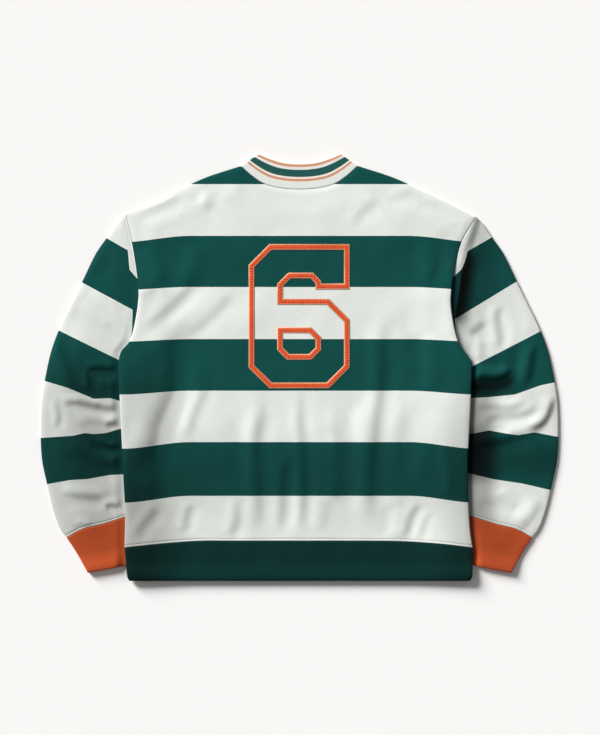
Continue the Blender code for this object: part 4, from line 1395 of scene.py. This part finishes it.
def make_numeral(surface):
    """Felt strips that follow the back panel's upper face, with stitches over both edges."""
    made = []
    for name, outline in zip(("number_outline", "number_counter"), numeral_outlines()):
        inside = inset_outline(outline, STRIP_WIDTH)
        strip = make_strip(f"{name}_felt", outline, inside, surface)
        stitches = edge_threads(f"{name}_stitching", outline, inside, Stack(tree_of(strip), surface))
        made.append((name, strip, stitches, outline))
    return made


def make_floor():
    bpy.ops.mesh.primitive_plane_add(size=FLOOR_SIZE, location=(0, 0, -FLOOR_DROP * MM))
    floor = bpy.context.object
    floor.name = "floor"
    floor.data.materials.append(floor_material())


def make_camera():
    """Straight above, far enough away for the long lens to take in the photograph's frame."""
    data = bpy.data.cameras.new("camera")
    data.lens = LENS
    data.sensor_width = SENSOR
    camera = bpy.data.objects.new("camera", data)
    distance = VIEW_HEIGHT * LENS / SENSOR
    camera.location = (VIEW_CENTRE[0] * MM, VIEW_CENTRE[1] * MM, distance * MM)
    data.clip_start, data.clip_end = CLIP_NEAR, CLIP_FAR
    bpy.context.scene.collection.objects.link(camera)
    bpy.context.scene.camera = camera


def make_light():
    data = bpy.data.lights.new("sun", "SUN")
    data.energy = SUN_STRENGTH
    data.angle = np.radians(SUN_ANGLE)
    sun = bpy.data.objects.new("sun", data)
    up, round_z = np.radians(SUN_ELEVATION), np.radians(SUN_AZIMUTH)
    source = Vector((np.cos(up) * np.cos(round_z), np.cos(up) * np.sin(round_z), np.sin(up)))
    sun.rotation_mode = "QUATERNION"
    sun.rotation_quaternion = source.to_track_quat("Z", "Y")
    bpy.context.scene.collection.objects.link(sun)
    world = bpy.data.worlds.new("world")
    world.use_nodes = True
    background = world.node_tree.nodes["Background"]
    background.inputs["Color"].default_value = (1.0, 1.0, 1.0, 1.0)
    background.inputs["Strength"].default_value = WORLD_STRENGTH
    bpy.context.scene.world = world
    bpy.context.scene.view_settings.view_transform = "Standard"


def carry(piece):
    """Rides on the one body."""
    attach(piece, "root")


def declare(piece, node, grids):
    """Rides on the one body and stands for its solid, whose part it hides; the area of the cloth's cut is
    worked out but not used.
    """
    carry(piece)
    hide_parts(node)
    area = sum(plan_area(grid) for grid in grids)


make_camera()
make_light()
make_floor()
jersey = jersey_material()
cuff_rib = rib_material("orange_cuff_rib", RIB_ORANGE, *CUFF_SHADES)
hem_rib = rib_material("green_hem_rib", HEM_GREEN, *HEM_SHADES)
collar = collar_material()
felt = felt_material()
seam_thread = thread_material("seam_thread", OFF_WHITE)
edge_thread = thread_material("edge_thread", EDGE_ORANGE)

back, back_grid = make_back()
front, front_grid = make_front()
hem, hem_grid = make_hem(back_grid)
neck, neck_plans = make_neck()
arms = {side: make_arm(side) for side in SIDE_NAMES}
back_surface = tree_of(back)
numerals = make_numeral(back_surface)

stitch_row = STITCHED.index(STITCH_LINE)
hem_stitches = seam_threads("hem_stitching", back_grid[stitch_row], back_surface, seam_thread)
carry(hem_stitches)

declare(back, "back_panel", [back_grid])
declare(front, "front_panel", [front_grid])
declare(hem, "hem_rib", [hem_grid, hem_grid])
declare(neck, "neck_rib", neck_plans)
for side, word in SIDE_NAMES.items():
    (sleeve, sleeve_grid), (cuff, cuff_grid) = arms[side]
    stitches = seam_threads(f"cuff_{word}_stitching", sleeve_grid[-1 - stitch_row], tree_of(sleeve),
                            seam_thread)
    carry(stitches)
    declare(sleeve, f"sleeve_{word}", [sleeve_grid, sleeve_grid])
    declare(cuff, f"cuff_{word}", [cuff_grid, cuff_grid])
for node, strip, stitches, outline in numerals:
    carry(strip)
    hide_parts(node)
    carry(stitches)
